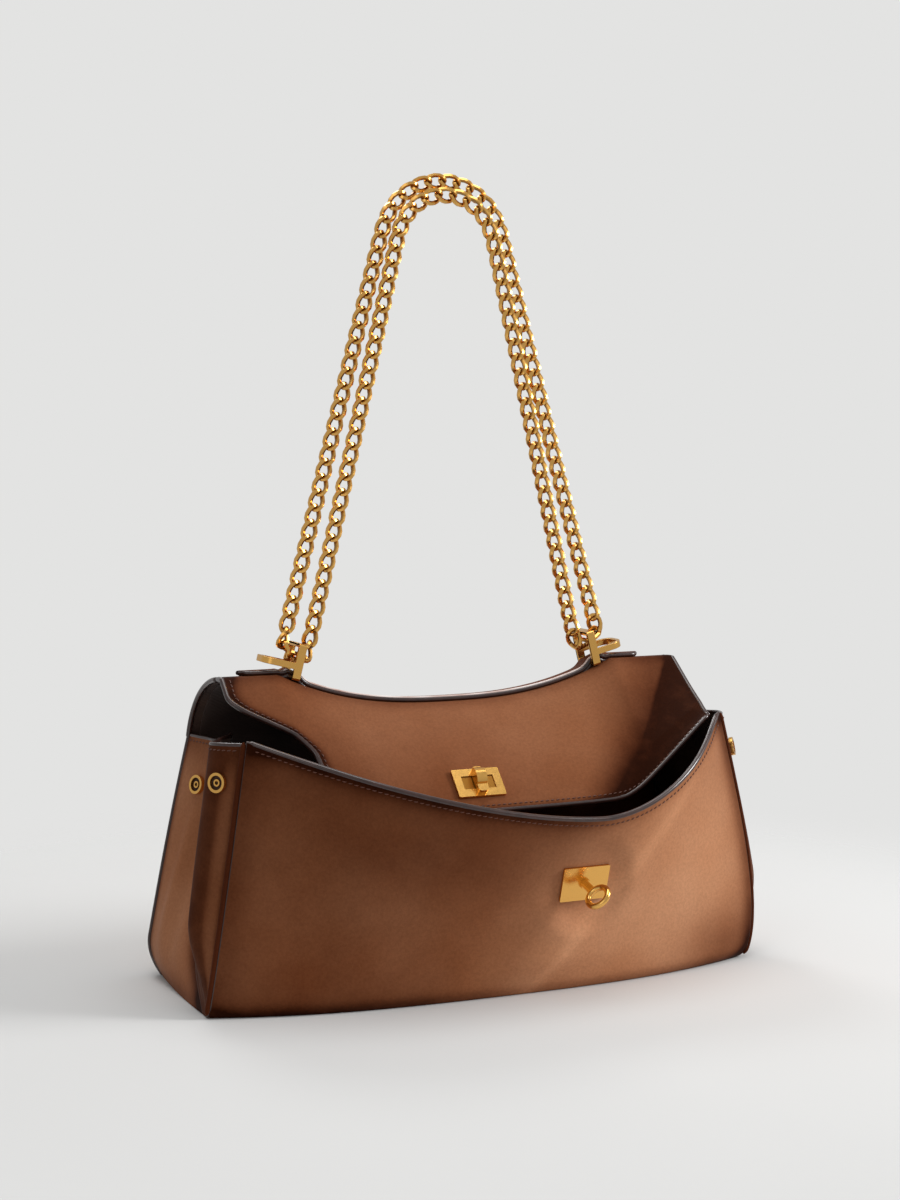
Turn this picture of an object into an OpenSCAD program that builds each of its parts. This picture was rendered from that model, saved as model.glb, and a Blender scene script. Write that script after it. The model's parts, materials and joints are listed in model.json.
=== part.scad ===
// Soft leather shoulder bag with a tucked flap and a doubled curb chain.
// X runs to the bag's right, Y to its back, Z up. The origin is the centre of the base.

/* [Body] */
// Width of the base between the front corners
body_w = 320; // [240:1:420]
// Distance from the origin forward to the front corner seams
front_y = 57; // [45:1:75]
// Distance from the origin back to the rear panel
rear_y = 50; // [40:1:70]
// Height of the front rim at its corners
front_h = 144; // [120:1:190]
// Height of the rear wall where it starts to curl forward
rear_h = 134; // [110:1:160]
// Height of the ridge at its ends
ridge_h = 172; // [150:1:200]
// How far the ridge sags in the middle
ridge_sag = 20; // [6:1:28]
// Height of the lowest point of the front rim
rim_low = 97; // [75:1:115]
// Place of that lowest point along the width
rim_low_x = 49; // [-40:1:80]
// How far the front panel stands out in the middle of its base
base_bow = 23; // [8:1:32]
// How much further the front panel leans out in the middle of its rim
front_lean = 24; // [2:1:28]
// How far the left side leans in at the top
lean_left = 22; // [8:1:34]
// How far the right side leans in at the top
lean_right = 15; // [8:1:34]
// How far the right side puffs out low down
side_puff = 10; // [0:1:16]
// How much wider the base is at the back than at the front seams
rear_spread = 6; // [0:0.5:10]
// How far the rear half of each gusset puffs out
gusset_puff = 3; // [1:0.5:8]
// How far the front half of each gusset folds out
gusset_fold = 13; // [6:1:16]
// How far the crease between the two halves is drawn in
crease_in = 12; // [4:1:16]
// Radius of the rounded lower rear corners
corner_roll = 14; // [6:1:20]

/* [Leather] */
// Thickness of the outer leather
leather_t = 2; // [1.4:0.1:2.6]
// Thickness of the lining
lining_t = 0.8; // [0.5:0.1:1.2]
// Gap left between two soft layers
layer_gap = 0.3; // [0.2:0.05:0.5]
// Radius of the corner seam bindings
binding_r = 1.5; // [1:0.1:2.2]
// Depth of the facing sewn inside the front rim
facing_h = 22; // [12:1:30]

/* [Flap] */
// Distance forward from the origin to the line where the flap leaves the ridge
ridge_front = 5; // [2:0.5:10]
// Distance forward from the origin to the tucked lower edge
flap_reach = 65; // [55:0.5:68]
// Height of the tucked lower edge
flap_low = 100; // [92:0.5:106]
// Thickness of the flap leather
flap_t = 1.6; // [1.2:0.1:2.2]
// Width of the ridge strap
strap_w = 12; // [9:0.5:15]
// Thickness of the ridge strap
strap_t = 2.6; // [2:0.1:3.4]
// Half length of the ridge strap
strap_half = 123; // [112:1:130]

/* [Chain] */
// Distance of each anchor from the middle of the bag
anchor_x = 93; // [80:1:100]
// Height of the chain's outer strand over the top, above the base
chain_top = 444; // [380:1:500]
// Target distance from link to link
link_pitch = 8.66; // [8.2:0.01:9.2]
// Wire thickness of the links
wire_d = 2.1; // [1.8:0.05:2.3]
// Outer width of a link
link_w = 9.2; // [8.8:0.1:9.8]
// Radius of the arch that the outer strand makes over the top
arch_r = 37.5; // [28:0.5:55]
// How far the inner strand lies inside the outer one over the top
strand_in = 8; // [7.6:0.1:12]
// How far the inner strand lies in front of the outer one over the top
strand_front = 5; // [4.6:0.1:8]

/* [Anchors] */
// Outer width of the upright loop, from front to back
loop_d = 21; // [19:0.5:24]
// Height of the upright loop
loop_h = 20.5; // [18:0.5:23]
// Width of the upright loop's band, along the bag
loop_w = 4.6; // [4:0.2:6]
// Thickness of the anchor's band
band_t = 2.2; // [1.8:0.1:2.6]
// Length of the flat loop that lies over the strap
foot_l = 20; // [16:0.5:22]
// Height of the flat loop's band
foot_h = 3.6; // [2.4:0.1:4]
// How far each anchor leans towards the middle of the bag, in degrees
anchor_tilt = 14; // [8:1:20]

/* [Ring plate] */
// Place of the ring plate along the width
ring_x = 42; // [-60:1:70]
// Height of the ring plate
ring_z = 61; // [45:1:70]
// Width of the ring plate
ring_plate_w = 28; // [22:0.5:34]
// Height of the ring plate
ring_plate_h = 20; // [16:0.5:24]
// Thickness of the ring plate
ring_plate_t = 1.4; // [1:0.1:2]
// Diameter of the ring's post
post_d = 4.6; // [3.6:0.1:5.4]
// Length of the post in front of the plate
post_l = 10; // [7:0.5:14]
// Outer diameter of the ring
ring_d = 15.5; // [13:0.5:18]
// Thickness of the ring's wire
ring_wire = 3.4; // [2.6:0.1:4]

/* [Turn lock] */
// Place of the lock along the width
lock_x = -5; // [-30:1:30]
// How far down the flap the lock sits, as a share of the flap's length
lock_down_share = 0.78; // [0.6:0.01:0.84]
// Width of the lock plate
lock_plate_w = 28; // [22:0.5:34]
// Height of the lock plate
lock_plate_h = 18; // [14:0.5:22]
// Thickness of the lock plate
lock_plate_t = 1.6; // [1.2:0.1:2.2]
// Width of the slot in the lock plate
slot_w = 19; // [16:0.5:20]
// Height of the slot in the lock plate
slot_h = 8.6; // [7:0.2:10]
// Length of the turning knob
knob_l = 16; // [12:0.5:18]
// Width of the turning knob
knob_w = 6; // [4.6:0.2:6.6]
// Height of the turning knob above the plate
knob_h = 6; // [4.6:0.2:8]

/* [Snaps] */
// Outer diameter of the gusset snaps
snap_d = 10.6; // [9:0.2:12]
// Height of the gusset snaps
snap_h = 2.2; // [1.6:0.1:3]

/* [Hidden] */
$fn = 48;

tan_leather = "#95603C";
dark_leather = "#5A3523";
lining_brown = "#3A241A";
edge_brown = "#2E1A18";
brass_gold = "#C9973F";

// Shares and exponents that shape the curves
lean_left_share = 0.9;
lean_right_share = 1.3;
puff_share = 0.55;
plan_round_share = 2.8;
rim_left_share = 1.58;
rim_right_share = 1.77;
ridge_share = 2.6;
crease_run_share = 4;
wall_share = 0.62;
flap_in_share = 1.1;
fold_share = 0.32;
fold_run = 0.85;
flap_drop_share = 1.15;
crease_u_share = 0.8;
step_share = 0.004;

arch_share = 0.9;
hood_share = 0.18;
divider_share = 0.6;
arch_start = 10;

// Heights and places worked out from the sizes above
flap_low_left = body_w * 0.27;
flap_low_right = body_w * 0.266;
wing_back = front_y * 0.25;
wing_up = front_h * 0.3;
hinge_gap = layer_gap * 3;
ridge_flat = body_w * 0.32;
crease_top_y = rear_y * 0.2;
crease_low_y = -front_y * 0.8;
gusset_h = rear_h + layer_gap;
gusset_rise = front_h - rear_h - leather_t;
arch_c_y = -ridge_front;
arch_c_z = rear_h - corner_roll * 0.7;
ridge_left = -(body_w / 2 - lean_left - leather_t * 1.5);
ridge_right = body_w / 2 - lean_right - leather_t;

function lerp(a, b, t) = a + (b - a) * t;
function bump(t) = sin(180 * t);
function smooth(t) = let (s = max(0, min(1, t))) s * s * (3 - 2 * s);

// Front seams: half widths at a share of the front height
function seam_left(v) = -(body_w / 2 - lean_left * pow(v, lean_left_share));
function seam_right(v) = body_w / 2 - lean_right * pow(v, lean_right_share)
    + side_puff * bump(pow(v, puff_share));
function seam(side, v) = side < 0 ? seam_left(v) : seam_right(v);

// Height of the front rim at a place along the width
function rim_z(x) = x < rim_low_x
    ? rim_low + (front_h - rim_low) * pow((rim_low_x - x) / (rim_low_x - seam_left(1)), rim_left_share)
    : rim_low + (front_h - rim_low) * pow((x - rim_low_x) / (seam_right(1) - rim_low_x), rim_right_share);

// Height of the sagging ridge, and how far a place is out towards its stiff ends
function ridge_end(x) = pow(min(1, abs(x) / ridge_flat), ridge_share);
function ridge_z(x) = ridge_h - ridge_sag * (1 - ridge_end(x));

// Profile of the flap from the ridge at 0 down to the tucked edge at 1, and how much of it
// stays with the stiff ends of the ridge when the flap is lifted
function flap_y(t) = -ridge_front - (flap_reach - ridge_front) * (1 - pow(1 - t, flap_in_share));
function flap_z(x, t) = ridge_z(x) - (ridge_z(x) - flap_low) * pow(t, flap_drop_share);
function hood_end(x) = hood_share * ridge_end(x);

// Outer face of the front panel
front_f = function(u, v)
    let (side = pow(abs(2 * u - 1), plan_round_share),
         bow = base_bow + front_lean * pow(v, 2),
         x = lerp(seam_left(v), seam_right(v), u))
    [x, -front_y - bow * (1 - side), v * rim_z(lerp(seam_left(1), seam_right(1), u))];

// Line where the two halves of a gusset meet, at a share of the gusset's height
function crease_y(v) = crease_top_y - (crease_top_y - crease_low_y) * pow(1 - v, crease_run_share);
function crease_x(side, v) = seam(side, v) - side * crease_in * smooth((v - 0.1) * 2);
function rear_side(side, v) = seam(side, v) + side * rear_spread * (1 - pow(v, 2));
function roll_in(v) = 0.6 * corner_roll * pow(max(0, 1 - v * gusset_h / corner_roll / 1.6), 2);

front_edge_y = -front_y + leather_t + lining_t + layer_gap;
rear_edge_y = rear_y - leather_t - 5 * layer_gap;

// Front half of a gusset: from the front seam it folds out, and then in to the crease
function gusset_front_f(side) = function(u, v)
    let (before = min(1, u / fold_share),
         after = max(0, (u - fold_share) / (1 - fold_share)),
         out = gusset_fold * smooth(v / 0.35) * (1 - pow(1 - before, 2)))
    [lerp(seam(side, v) + side * out, crease_x(side, v), pow(after, fold_run)),
     lerp(front_edge_y, crease_y(v) - layer_gap, u),
     v * (gusset_h + gusset_rise * (1 - u * 0.4))];

// Rear half of a gusset, from the crease back to the rear panel
function gusset_rear_f(side) = function(u, v)
    let (puff = gusset_puff * bump(u) * bump(0.12 + 0.72 * (1 - v)),
         x = lerp(crease_x(side, v), rear_side(side, v), u) + side * (puff - roll_in(v) * u),
         y = lerp(crease_y(v) + layer_gap, rear_edge_y - roll_in(v), u))
    [x, y, v * gusset_h];

// Outer face of the rear panel: a wall, an arch up to the ridge, and the short hood in
// front of it at the stiff ends of the ridge
function arch_z(x, turn) = arch_c_z + (ridge_z(x) - arch_c_z) * sin(turn);
rear_f = function(u, v)
    let (w = min(1, v / wall_share),
         a = max(0, min(1, (v - wall_share) / (arch_share - wall_share))),
         h = max(0, (v - arch_share) / (1 - arch_share)),
         left = lerp(rear_side(-1, w) + roll_in(w), ridge_left, a),
         right = lerp(rear_side(1, w) - roll_in(w), ridge_right, a),
         x = lerp(left, right, u),
         turn = lerp(arch_start, 90, a),
         t = h * hood_end(x))
    v < wall_share ? [x, rear_y - roll_in(w) * pow(abs(2 * u - 1), 8), w * arch_z(x, turn)]
    : v < arch_share ? [x, arch_c_y + (rear_y - arch_c_y) * cos(turn) / cos(arch_start), arch_z(x, turn)]
    : [x, flap_y(t), flap_z(x, t)];

// Outer face of the flap, from the ridge down to the tucked lower edge. Past the crease
// its right wing folds up again.
function flap_left(t) = lerp(ridge_left, -flap_low_left,
    0.84 * smooth((t - 0.15) / 0.42) + 0.16 * max(0, 2 * t - 1));
function flap_crease(t) = lerp(ridge_right, flap_low_right, t);
function flap_wing(t) = ridge_right - leather_t * t;
flap_f = function(u, v)
    let (wing = max(0, (u - crease_u_share) / (1 - crease_u_share)),
         main = min(1, u / crease_u_share),
         x0 = lerp(flap_left(v), flap_crease(v), main),
         x = lerp(x0, flap_wing(v), wing))
    [x, flap_y(v) + wing * wing_back * pow(v, 1.5), flap_z(x0, v) + wing * wing_up * pow(v, 1.6)];

// The part of the flap that lifts, clear of the hood
flap_moving_f = function(u, v)
    let (main = min(1, u / crease_u_share),
         near = hood_end(lerp(ridge_left, ridge_right, main)),
         start = hood_end(lerp(flap_left(near), flap_crease(near), main))
             + hinge_gap / (ridge_h - flap_low) + max(0, u - crease_u_share) * hood_share)
    flap_f(u, lerp(start, 1, v));

// Divider between the two pockets, from the front base seam up to behind the lock
divider_h = lerp(flap_low, rear_h, divider_share);
divider_mid_y = -flap_reach * 0.45;
divider_f = function(u, v)
    let (w = lerp(0.052, 1, v),
         s = w * divider_h / gusset_h,
         side = pow(2 * u - 1, 2),
         mid_y = divider_mid_y - (front_y + base_bow + divider_mid_y - leather_t * 4)
             * pow(1 - w, crease_run_share),
         inset = leather_t + 6 * layer_gap)
    [lerp(crease_x(-1, s) + inset, crease_x(1, s) - inset, u),
     lerp(mid_y, crease_y(s) + leather_t, side),
     w * divider_h];

function surf_normal(f, u, v) =
    let (du = f(min(1, u + step_share), v) - f(max(0, u - step_share), v),
         dv = f(u, min(1, v + step_share)) - f(u, max(0, v - step_share)),
         n = cross(du, dv))
    n / norm(n);

// Lines of a sheet: evenly spaced shares, the same with a line just inside each side, and a
// list cut down to a part of its range
side_inset = 0.022;
function steps(n) = [for (i = [0:n]) i / n];
function with_sides(n) = concat([0], trim(steps(n), side_inset, 1 - side_inset), [1]);
function trim(lines, lo, hi) = concat([lo], [for (s = lines) if (s > lo && s < hi) s], [hi]);

// A closed sheet on the surface f between two offsets along its normal, over lists of lines,
// and kept above the ground
module sheet(f, us, vs, lo, hi) {
    nu = len(us) - 1;
    nv = len(vs) - 1;
    row = nu + 1;
    count = row * (nv + 1);
    layer = function(off) [for (v = vs, u = us)
        let (p = f(u, v) + off * surf_normal(f, u, v)) [p.x, p.y, max(0, p.z)]];
    at = function(k, i, j) k * count + j * row + i;
    faces = [
        for (j = [0:nv - 1], i = [0:nu - 1]) each [
            [at(0, i, j), at(0, i + 1, j), at(0, i + 1, j + 1)],
            [at(0, i, j), at(0, i + 1, j + 1), at(0, i, j + 1)],
            [at(1, i, j), at(1, i + 1, j + 1), at(1, i + 1, j)],
            [at(1, i, j), at(1, i, j + 1), at(1, i + 1, j + 1)]],
        for (i = [0:nu - 1]) each [
            [at(0, i, 0), at(1, i, 0), at(1, i + 1, 0)],
            [at(0, i, 0), at(1, i + 1, 0), at(0, i + 1, 0)],
            [at(0, i, nv), at(1, i + 1, nv), at(1, i, nv)],
            [at(0, i, nv), at(0, i + 1, nv), at(1, i + 1, nv)]],
        for (j = [0:nv - 1]) each [
            [at(0, 0, j), at(1, 0, j + 1), at(1, 0, j)],
            [at(0, 0, j), at(0, 0, j + 1), at(1, 0, j + 1)],
            [at(0, nu, j), at(1, nu, j), at(1, nu, j + 1)],
            [at(0, nu, j), at(1, nu, j + 1), at(0, nu, j + 1)]]];
    polyhedron(concat(layer(lo), layer(hi)), faces);
}

// A closed tube along a path, with square ends
function unit(a) = a / norm(a);
module tube(path, r, sides) {
    n = len(path);
    points = [for (k = [0:n - 1])
        let (t = unit(path[min(n - 1, k + 1)] - path[max(0, k - 1)]),
             e = unit(cross(t, [0, 1, 0])), f = cross(t, e))
        for (s = [0:sides - 1]) path[k] + r * (cos(360 * s / sides) * e + sin(360 * s / sides) * f)];
    faces = concat(
        [for (k = [0:n - 2], s = [0:sides - 1]) let (q = (s + 1) % sides)
            each [[k * sides + s, (k + 1) * sides + q, k * sides + q],
                  [k * sides + s, (k + 1) * sides + s, (k + 1) * sides + q]]],
        [[for (s = [0:sides - 1]) s]],
        [[for (s = [sides - 1:-1:0]) (n - 1) * sides + s]]);
    polyhedron(points, faces);
}

// Puts a piece on a surface point, with its Z along the outward direction there
module on_face(p, n) {
    translate(p) rotate([0, 0, atan2(n.x, -n.y)]) rotate([-asin(n.z), 0, 0]) rotate([90, 0, 0])
        children();
}

// A rectangle with round corners
module round_rect(w, h, r) {
    square([w - 2 * r, h], center = true);
    square([w, h - 2 * r], center = true);
    for (i = [-1, 1], j = [-1, 1]) translate([i * (w / 2 - r), j * (h / 2 - r)]) circle(r);
}

// A flat ring of round section
module torus(outer_d, wire) {
    rotate_extrude() translate([(outer_d - wire) / 2, 0]) circle(d = wire, $fn = 24);
}

// Ring plate: its place on the front panel and its parts from back to front
ring_v = ring_z / rim_z(ring_x);
ring_u = (ring_x - seam_left(ring_v)) / (seam_right(ring_v) - seam_left(ring_v));
ring_at = front_f(ring_u, ring_v);
ring_n = surf_normal(front_f, ring_u, ring_v);
seat_gap = 0.1;
running_gap = 0.05;
hole_gap = 0.4;
ring_sleeve_d = post_d + 2 * leather_t * 0.6;
ring_back_t = leather_t / 2;
front_stack = leather_t + layer_gap + lining_t + 2 * layer_gap;
ring_tilt = 45;

module ring_frame() on_face(ring_at + layer_gap * ring_n, ring_n) children();

module ring_hole() {
    ring_frame() cylinder(d = ring_sleeve_d + 2 * hole_gap, h = 4 * front_stack, center = true, $fn = 12);
}

facing_v = 1 - facing_h / front_h;
front_us = with_sides(14);
hem = 0.04;
front_vs = concat([0], trim(steps(6) * facing_v, hem, facing_v), [1]);
inner_us = trim(front_us, side_inset, 1 - side_inset);
lining_out = -leather_t - layer_gap;
lining_in = lining_out - lining_t;

module front_panel() {
    color(tan_leather) difference() {
        sheet(front_f, front_us, front_vs, -leather_t, 0);
        ring_hole();
    }
}

module front_facing() {
    color(dark_leather) sheet(front_f, inner_us, [facing_v, 1], lining_in, lining_out);
}

module front_lining() {
    color(lining_brown) difference() {
        sheet(front_f, inner_us, trim(front_vs, hem, facing_v - 2 * layer_gap / front_h),
            lining_in, lining_out);
        ring_hole();
    }
}

ridge_us = with_sides(14);
rear_vs = concat([0, hem, 2 * hem], trim(steps(4) * wall_share, 3.5 * hem, wall_share),
    [for (s = steps(6)) if (s > 0) lerp(wall_share, arch_share, s)],
    [lerp(arch_share, 1, 0.5), 1]);

module rear_panel() {
    color(tan_leather) sheet(rear_f, ridge_us, rear_vs, 0, leather_t);
}

module rear_lining() {
    color(lining_brown) sheet(rear_f, trim(ridge_us, side_inset, 1 - side_inset),
        trim(rear_vs, hem, lerp(arch_share, wall_share, 1 / 6)), -lining_out, -lining_in);
}

// Outline of the base inside the walls, drawn in by an inset
function base_outline(inset) =
    let (n = 16, x = body_w / 2 - inset)
    concat([for (i = [0:n]) let (p = front_f(i / n, 0)) [max(-x, min(x, p.x)), p.y + inset]],
        [[x, crease_low_y], [x - roll_in(0), rear_y - corner_roll * 2]],
        [for (i = [n:-1:0]) let (p = rear_f(i / n, 0))
            [max(roll_in(0) - x, min(x - roll_in(0), p.x)), p.y - inset]],
        [[-x + roll_in(0), rear_y - corner_roll * 2], [-x, crease_low_y]]);

base_inset = leather_t + 2.5 * layer_gap;
board_inset = 2 * leather_t + 4 * lining_t;
board_t = 1.6;

module base_panel() {
    color(dark_leather) linear_extrude(leather_t) polygon(base_outline(base_inset));
}

module base_board() {
    color(lining_brown) translate([0, 0, leather_t + seat_gap])
        linear_extrude(board_t) polygon(base_outline(board_inset));
}

fold_us = concat([0, fold_share * 0.35, fold_share * 0.7, fold_share], [0.5, 0.75, 1]);

module gusset_front(side) {
    color(dark_leather) sheet(gusset_front_f(side), fold_us, steps(8),
        side < 0 ? 0 : -leather_t, side < 0 ? leather_t : 0);
}
module left_gusset_front() gusset_front(-1);
module right_gusset_front() gusset_front(1);

module gusset_rear(side) {
    color(tan_leather) sheet(gusset_rear_f(side), steps(4), steps(8),
        side < 0 ? 0 : -leather_t, side < 0 ? leather_t : 0);
}
module left_gusset_rear() gusset_rear(-1);
module right_gusset_rear() gusset_rear(1);

module divider() {
    color(dark_leather) sheet(divider_f, steps(10), steps(6), -leather_t, 0);
}

// Turn lock: its place on the flap and its parts from back to front
lock_u = crease_u_share * (lock_x - flap_left(lock_down_share))
    / (flap_crease(lock_down_share) - flap_left(lock_down_share));
lock_at = flap_f(lock_u, lock_down_share);
lock_n = -surf_normal(flap_f, lock_u, lock_down_share);
flap_stack = flap_t + lining_t + 4 * layer_gap;
knob_shaft_d = knob_w * 0.6;
lock_sleeve_d = knob_shaft_d + leather_t;
lock_back_t = leather_t / 2;

module lock_frame() on_face(lock_at, lock_n) children();

module lock_hole() {
    lock_frame() cylinder(d = lock_sleeve_d + 2 * hole_gap, h = 4 * flap_stack, center = true, $fn = 12);
}

flap_us = concat(ridge_us * crease_u_share, [for (s = [1, 2]) lerp(crease_u_share, 1, s / 2)]);
flap_vs = concat([0], trim(steps(7), hem, 1 - hem / 2), [1]);

module flap() {
    color(tan_leather) difference() {
        sheet(flap_moving_f, flap_us, flap_vs, 0, flap_t);
        lock_hole();
    }
}

module flap_lining() {
    color(lining_brown) difference() {
        sheet(flap_moving_f, trim(flap_us, flap_us[1], 1 - side_inset), trim(flap_vs, hem, 1 - hem / 2),
            flap_t + layer_gap, flap_t + layer_gap + lining_t);
        lock_hole();
    }
}

// Ridge strap: it lies along the ridge and lifts over the bottom bar of each anchor
strap_y = strap_w / 2 - ridge_front * 0.4;
anchor_base_z = ridge_z(anchor_x) + 3 * layer_gap;
function strap_lift(x) = (band_t + 5 * layer_gap)
    * min(1, 1.6 * exp(-pow((abs(x) - anchor_x) / loop_w / 1.6, 2)));
strap_f = function(u, v)
    let (x = lerp(-strap_half, strap_half, u))
    [x, strap_y + strap_w * (v - 0.5), ridge_z(x) + 2 * layer_gap + strap_lift(x)];

module ridge_strap() {
    color(dark_leather) sheet(strap_f, steps(40), [0, 1], 0, strap_t);
}

module seam_binding(side) {
    path = [for (k = [0:12]) let (v = lerp(0.02, 1, k / 12))
        [seam(side, v) + side * (binding_r + seat_gap), (front_edge_y - front_y) / 2, v * front_h]];
    color(edge_brown) tube(path, binding_r, 6);
}
module left_seam_binding() seam_binding(-1);
module right_seam_binding() seam_binding(1);

module ring_plate() {
    color(brass_gold) ring_frame() difference() {
        union() {
            translate([0, 0, seat_gap]) linear_extrude(ring_plate_t)
                round_rect(ring_plate_w, ring_plate_h, ring_plate_t / 2);
            translate([0, 0, -front_stack - ring_back_t])
                cylinder(d = ring_sleeve_d, h = front_stack + ring_back_t + ring_plate_t / 2);
        }
        cylinder(d = post_d + 2 * running_gap, h = 4 * ring_plate_w, center = true);
    }
}

module ring_backplate() {
    color(brass_gold) ring_frame() translate([0, 0, -front_stack - ring_back_t]) difference() {
        cylinder(d = ring_plate_h * 0.8, h = ring_back_t);
        cylinder(d = ring_sleeve_d + 2 * running_gap, h = 4 * ring_plate_w, center = true);
    }
}

module ring_eye() {
    head_t = ring_back_t * 0.8;
    collar_t = post_l * 0.2;
    ring_c = post_l + ring_d / 2 - ring_wire * 0.4;
    color(brass_gold) ring_frame() rotate([0, 0, ring_tilt]) {
        translate([0, 0, -front_stack - ring_back_t - seat_gap - head_t])
            cylinder(d = post_d, h = front_stack + ring_back_t + seat_gap + head_t + post_l);
        translate([0, 0, -front_stack - ring_back_t - seat_gap - head_t])
            cylinder(d = ring_sleeve_d, h = head_t);
        translate([0, 0, ring_plate_t + 2 * seat_gap]) cylinder(d = ring_sleeve_d * 0.9, h = collar_t);
        translate([0, 0, ring_c]) rotate([90, 0, 0]) torus(ring_d, ring_wire);
    }
}

module lock_plate() {
    color(brass_gold) lock_frame() translate([0, 0, seat_gap]) linear_extrude(lock_plate_t) difference() {
        round_rect(lock_plate_w, lock_plate_h, lock_plate_t / 2);
        square([slot_w, slot_h], center = true);
    }
}

module lock_base() {
    color(brass_gold) lock_frame() difference() {
        union() {
            translate([0, 0, seat_gap]) linear_extrude(lock_plate_t * 0.6)
                square([slot_w - 2 * seat_gap, slot_h - 2 * seat_gap], center = true);
            translate([0, 0, -flap_stack - lock_back_t])
                cylinder(d = lock_sleeve_d, h = flap_stack + lock_back_t + lock_plate_t / 2);
        }
        cylinder(d = knob_shaft_d + 2 * running_gap, h = 4 * lock_plate_w, center = true);
    }
}

module lock_backplate() {
    color(brass_gold) lock_frame() translate([0, 0, -flap_stack - lock_back_t]) difference() {
        linear_extrude(lock_back_t) round_rect(lock_plate_w * 0.85, lock_plate_h * 0.8, lock_plate_t);
        cylinder(d = lock_sleeve_d + 2 * running_gap, h = 4 * lock_plate_w, center = true);
    }
}

module lock_knob() {
    head_t = lock_back_t * 0.8;
    low = lock_plate_t + 2 * seat_gap;
    step_h = knob_h * 0.55;
    color(brass_gold) lock_frame() {
        translate([0, 0, -flap_stack - lock_back_t - seat_gap - head_t])
            cylinder(d = knob_shaft_d, h = flap_stack + lock_back_t + seat_gap + head_t + low + step_h / 2);
        translate([0, 0, -flap_stack - lock_back_t - seat_gap - head_t])
            cylinder(d = lock_sleeve_d, h = head_t);
        translate([0, 0, low]) linear_extrude(step_h) round_rect(knob_w, knob_l, knob_w * 0.3);
        translate([-knob_w / 2, knob_l * 0.12, low + step_h]) rotate([90, 0, 90]) linear_extrude(knob_w)
            intersection() {
                translate([0, -knob_h + step_h * 0.82]) circle(knob_l * 0.4);
                translate([-knob_l * 0.3, -step_h / 2]) square([knob_l * 0.6, knob_h]);
            }
    }
}

// Chain anchors: an upright loop round the strap, and a flat loop that lies over it. The
// window's middle, where the chain turns, is measured up from the loop's underside.
window_rise = loop_h - band_t - link_w * 0.674;
foot_z = band_t + strap_t + 4 * layer_gap;

module anchor_frame(side) {
    translate([side * anchor_x, strap_y, anchor_base_z]) rotate([0, -side * anchor_tilt, 0])
        children();
}

module foot_outline(inset) {
    end_r = loop_d * 0.36;
    translate([-inset, inset - loop_d / 2]) square([foot_l - end_r, loop_d - 2 * inset]);
    translate([0, end_r - loop_d / 2]) square([foot_l - inset, loop_d - 2 * end_r]);
    for (j = [-1, 1]) translate([foot_l - end_r, j * (loop_d / 2 - end_r)]) circle(end_r - inset);
}

module chain_anchor(side) {
    color(brass_gold) anchor_frame(side) {
        translate([-loop_w / 2, 0, loop_h / 2]) rotate([90, 0, 90])
            linear_extrude(loop_w) difference() {
                round_rect(loop_d, loop_h, band_t * 0.7);
                round_rect(loop_d - 2 * band_t, loop_h - 2 * band_t, band_t * 0.4);
            }
        translate([0, 0, foot_z]) mirror([side < 0 ? 1 : 0, 0, 0]) linear_extrude(foot_h)
            difference() {
                foot_outline(0);
                foot_outline(band_t);
            }
    }
}
module left_chain_anchor() chain_anchor(-1);
module right_chain_anchor() chain_anchor(1);

// Curb link: a rounded eight-sided ring of wire, twisted along its length so that each link
// lies in the next
link_slack = wire_d * 0.2;
link_a = (link_pitch + link_slack + wire_d) / 2;
link_b = (link_w - wire_d) / 2;
link_twist = 45;
link_sides = 4;
wire_corner = wire_d * 0.53;
link_shares = [[1, 0.36], [0.5, 1], [-0.5, 1], [-1, 0.36], [-1, -0.36], [-0.5, -1], [0.5, -1], [1, -0.36]];

module curb_link(centre, axis, roll) {
    e2 = unit(cross([0, 1, 0], axis));
    e3 = cross(axis, e2);
    rings = len(link_shares);
    mid = [for (s = link_shares) let (phi = roll + link_twist * s.x)
        link_a * s.x * axis + link_b * s.y * (cos(phi) * e2 + sin(phi) * e3)];
    points = [for (i = [0:rings - 1])
        let (here = mid[i], before = mid[(i + rings - 1) % rings], after = mid[(i + 1) % rings],
             t = unit(unit(after - here) + unit(here - before)),
             out = unit(here - (here * t) * t), side = cross(t, out))
        for (j = [0:link_sides - 1]) let (w = 360 * (j + 0.5) / link_sides)
            centre + here + wire_corner * (cos(w) * out + sin(w) * side)];
    faces = [for (i = [0:rings - 1], j = [0:link_sides - 1])
        let (i2 = (i + 1) % rings, j2 = (j + 1) % link_sides,
             a = i * link_sides + j, b = i * link_sides + j2,
             c = i2 * link_sides + j2, d = i2 * link_sides + j)
        each [[a, c, b], [a, d, c]]];
    polyhedron(points, faces);
}

// Links that turn round in an anchor's window. Places are shares of the link pitch from the
// window's middle, angles are measured from upright towards the bag's middle.
window_share = [0.043, 0.024];
window_turn = [76.2, 53.9];
turn_shares = [[-0.62, 0.345], [-1.001, 1.085], [0.736, 0.548], [0.736, 1.503]];
turn_angles = [[-45.2, -100.9], [1.2, 43.2], [4.7, 36.9], [1.7, 5.1]];

function tilted(angle) = [sin(angle), 0, cos(angle)];
function turn_centre(k) = link_pitch * [turn_shares[k].x, 0, turn_shares[k].y];
function turn_end(k) = turn_centre(k) + tilted(turn_angles[k][0]) * link_pitch / 2;

module turn_links(side) {
    anchor_frame(side) translate([0, 0, window_rise]) rotate([0, 0, side < 0 ? 0 : 180]) {
        curb_link(link_pitch * [window_share.x, 0, window_share.y], tilted(window_turn[0]), window_turn[1]);
        for (k = [0:3]) curb_link(turn_centre(k), tilted(turn_angles[k][0]), turn_angles[k][1]);
    }
}

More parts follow.
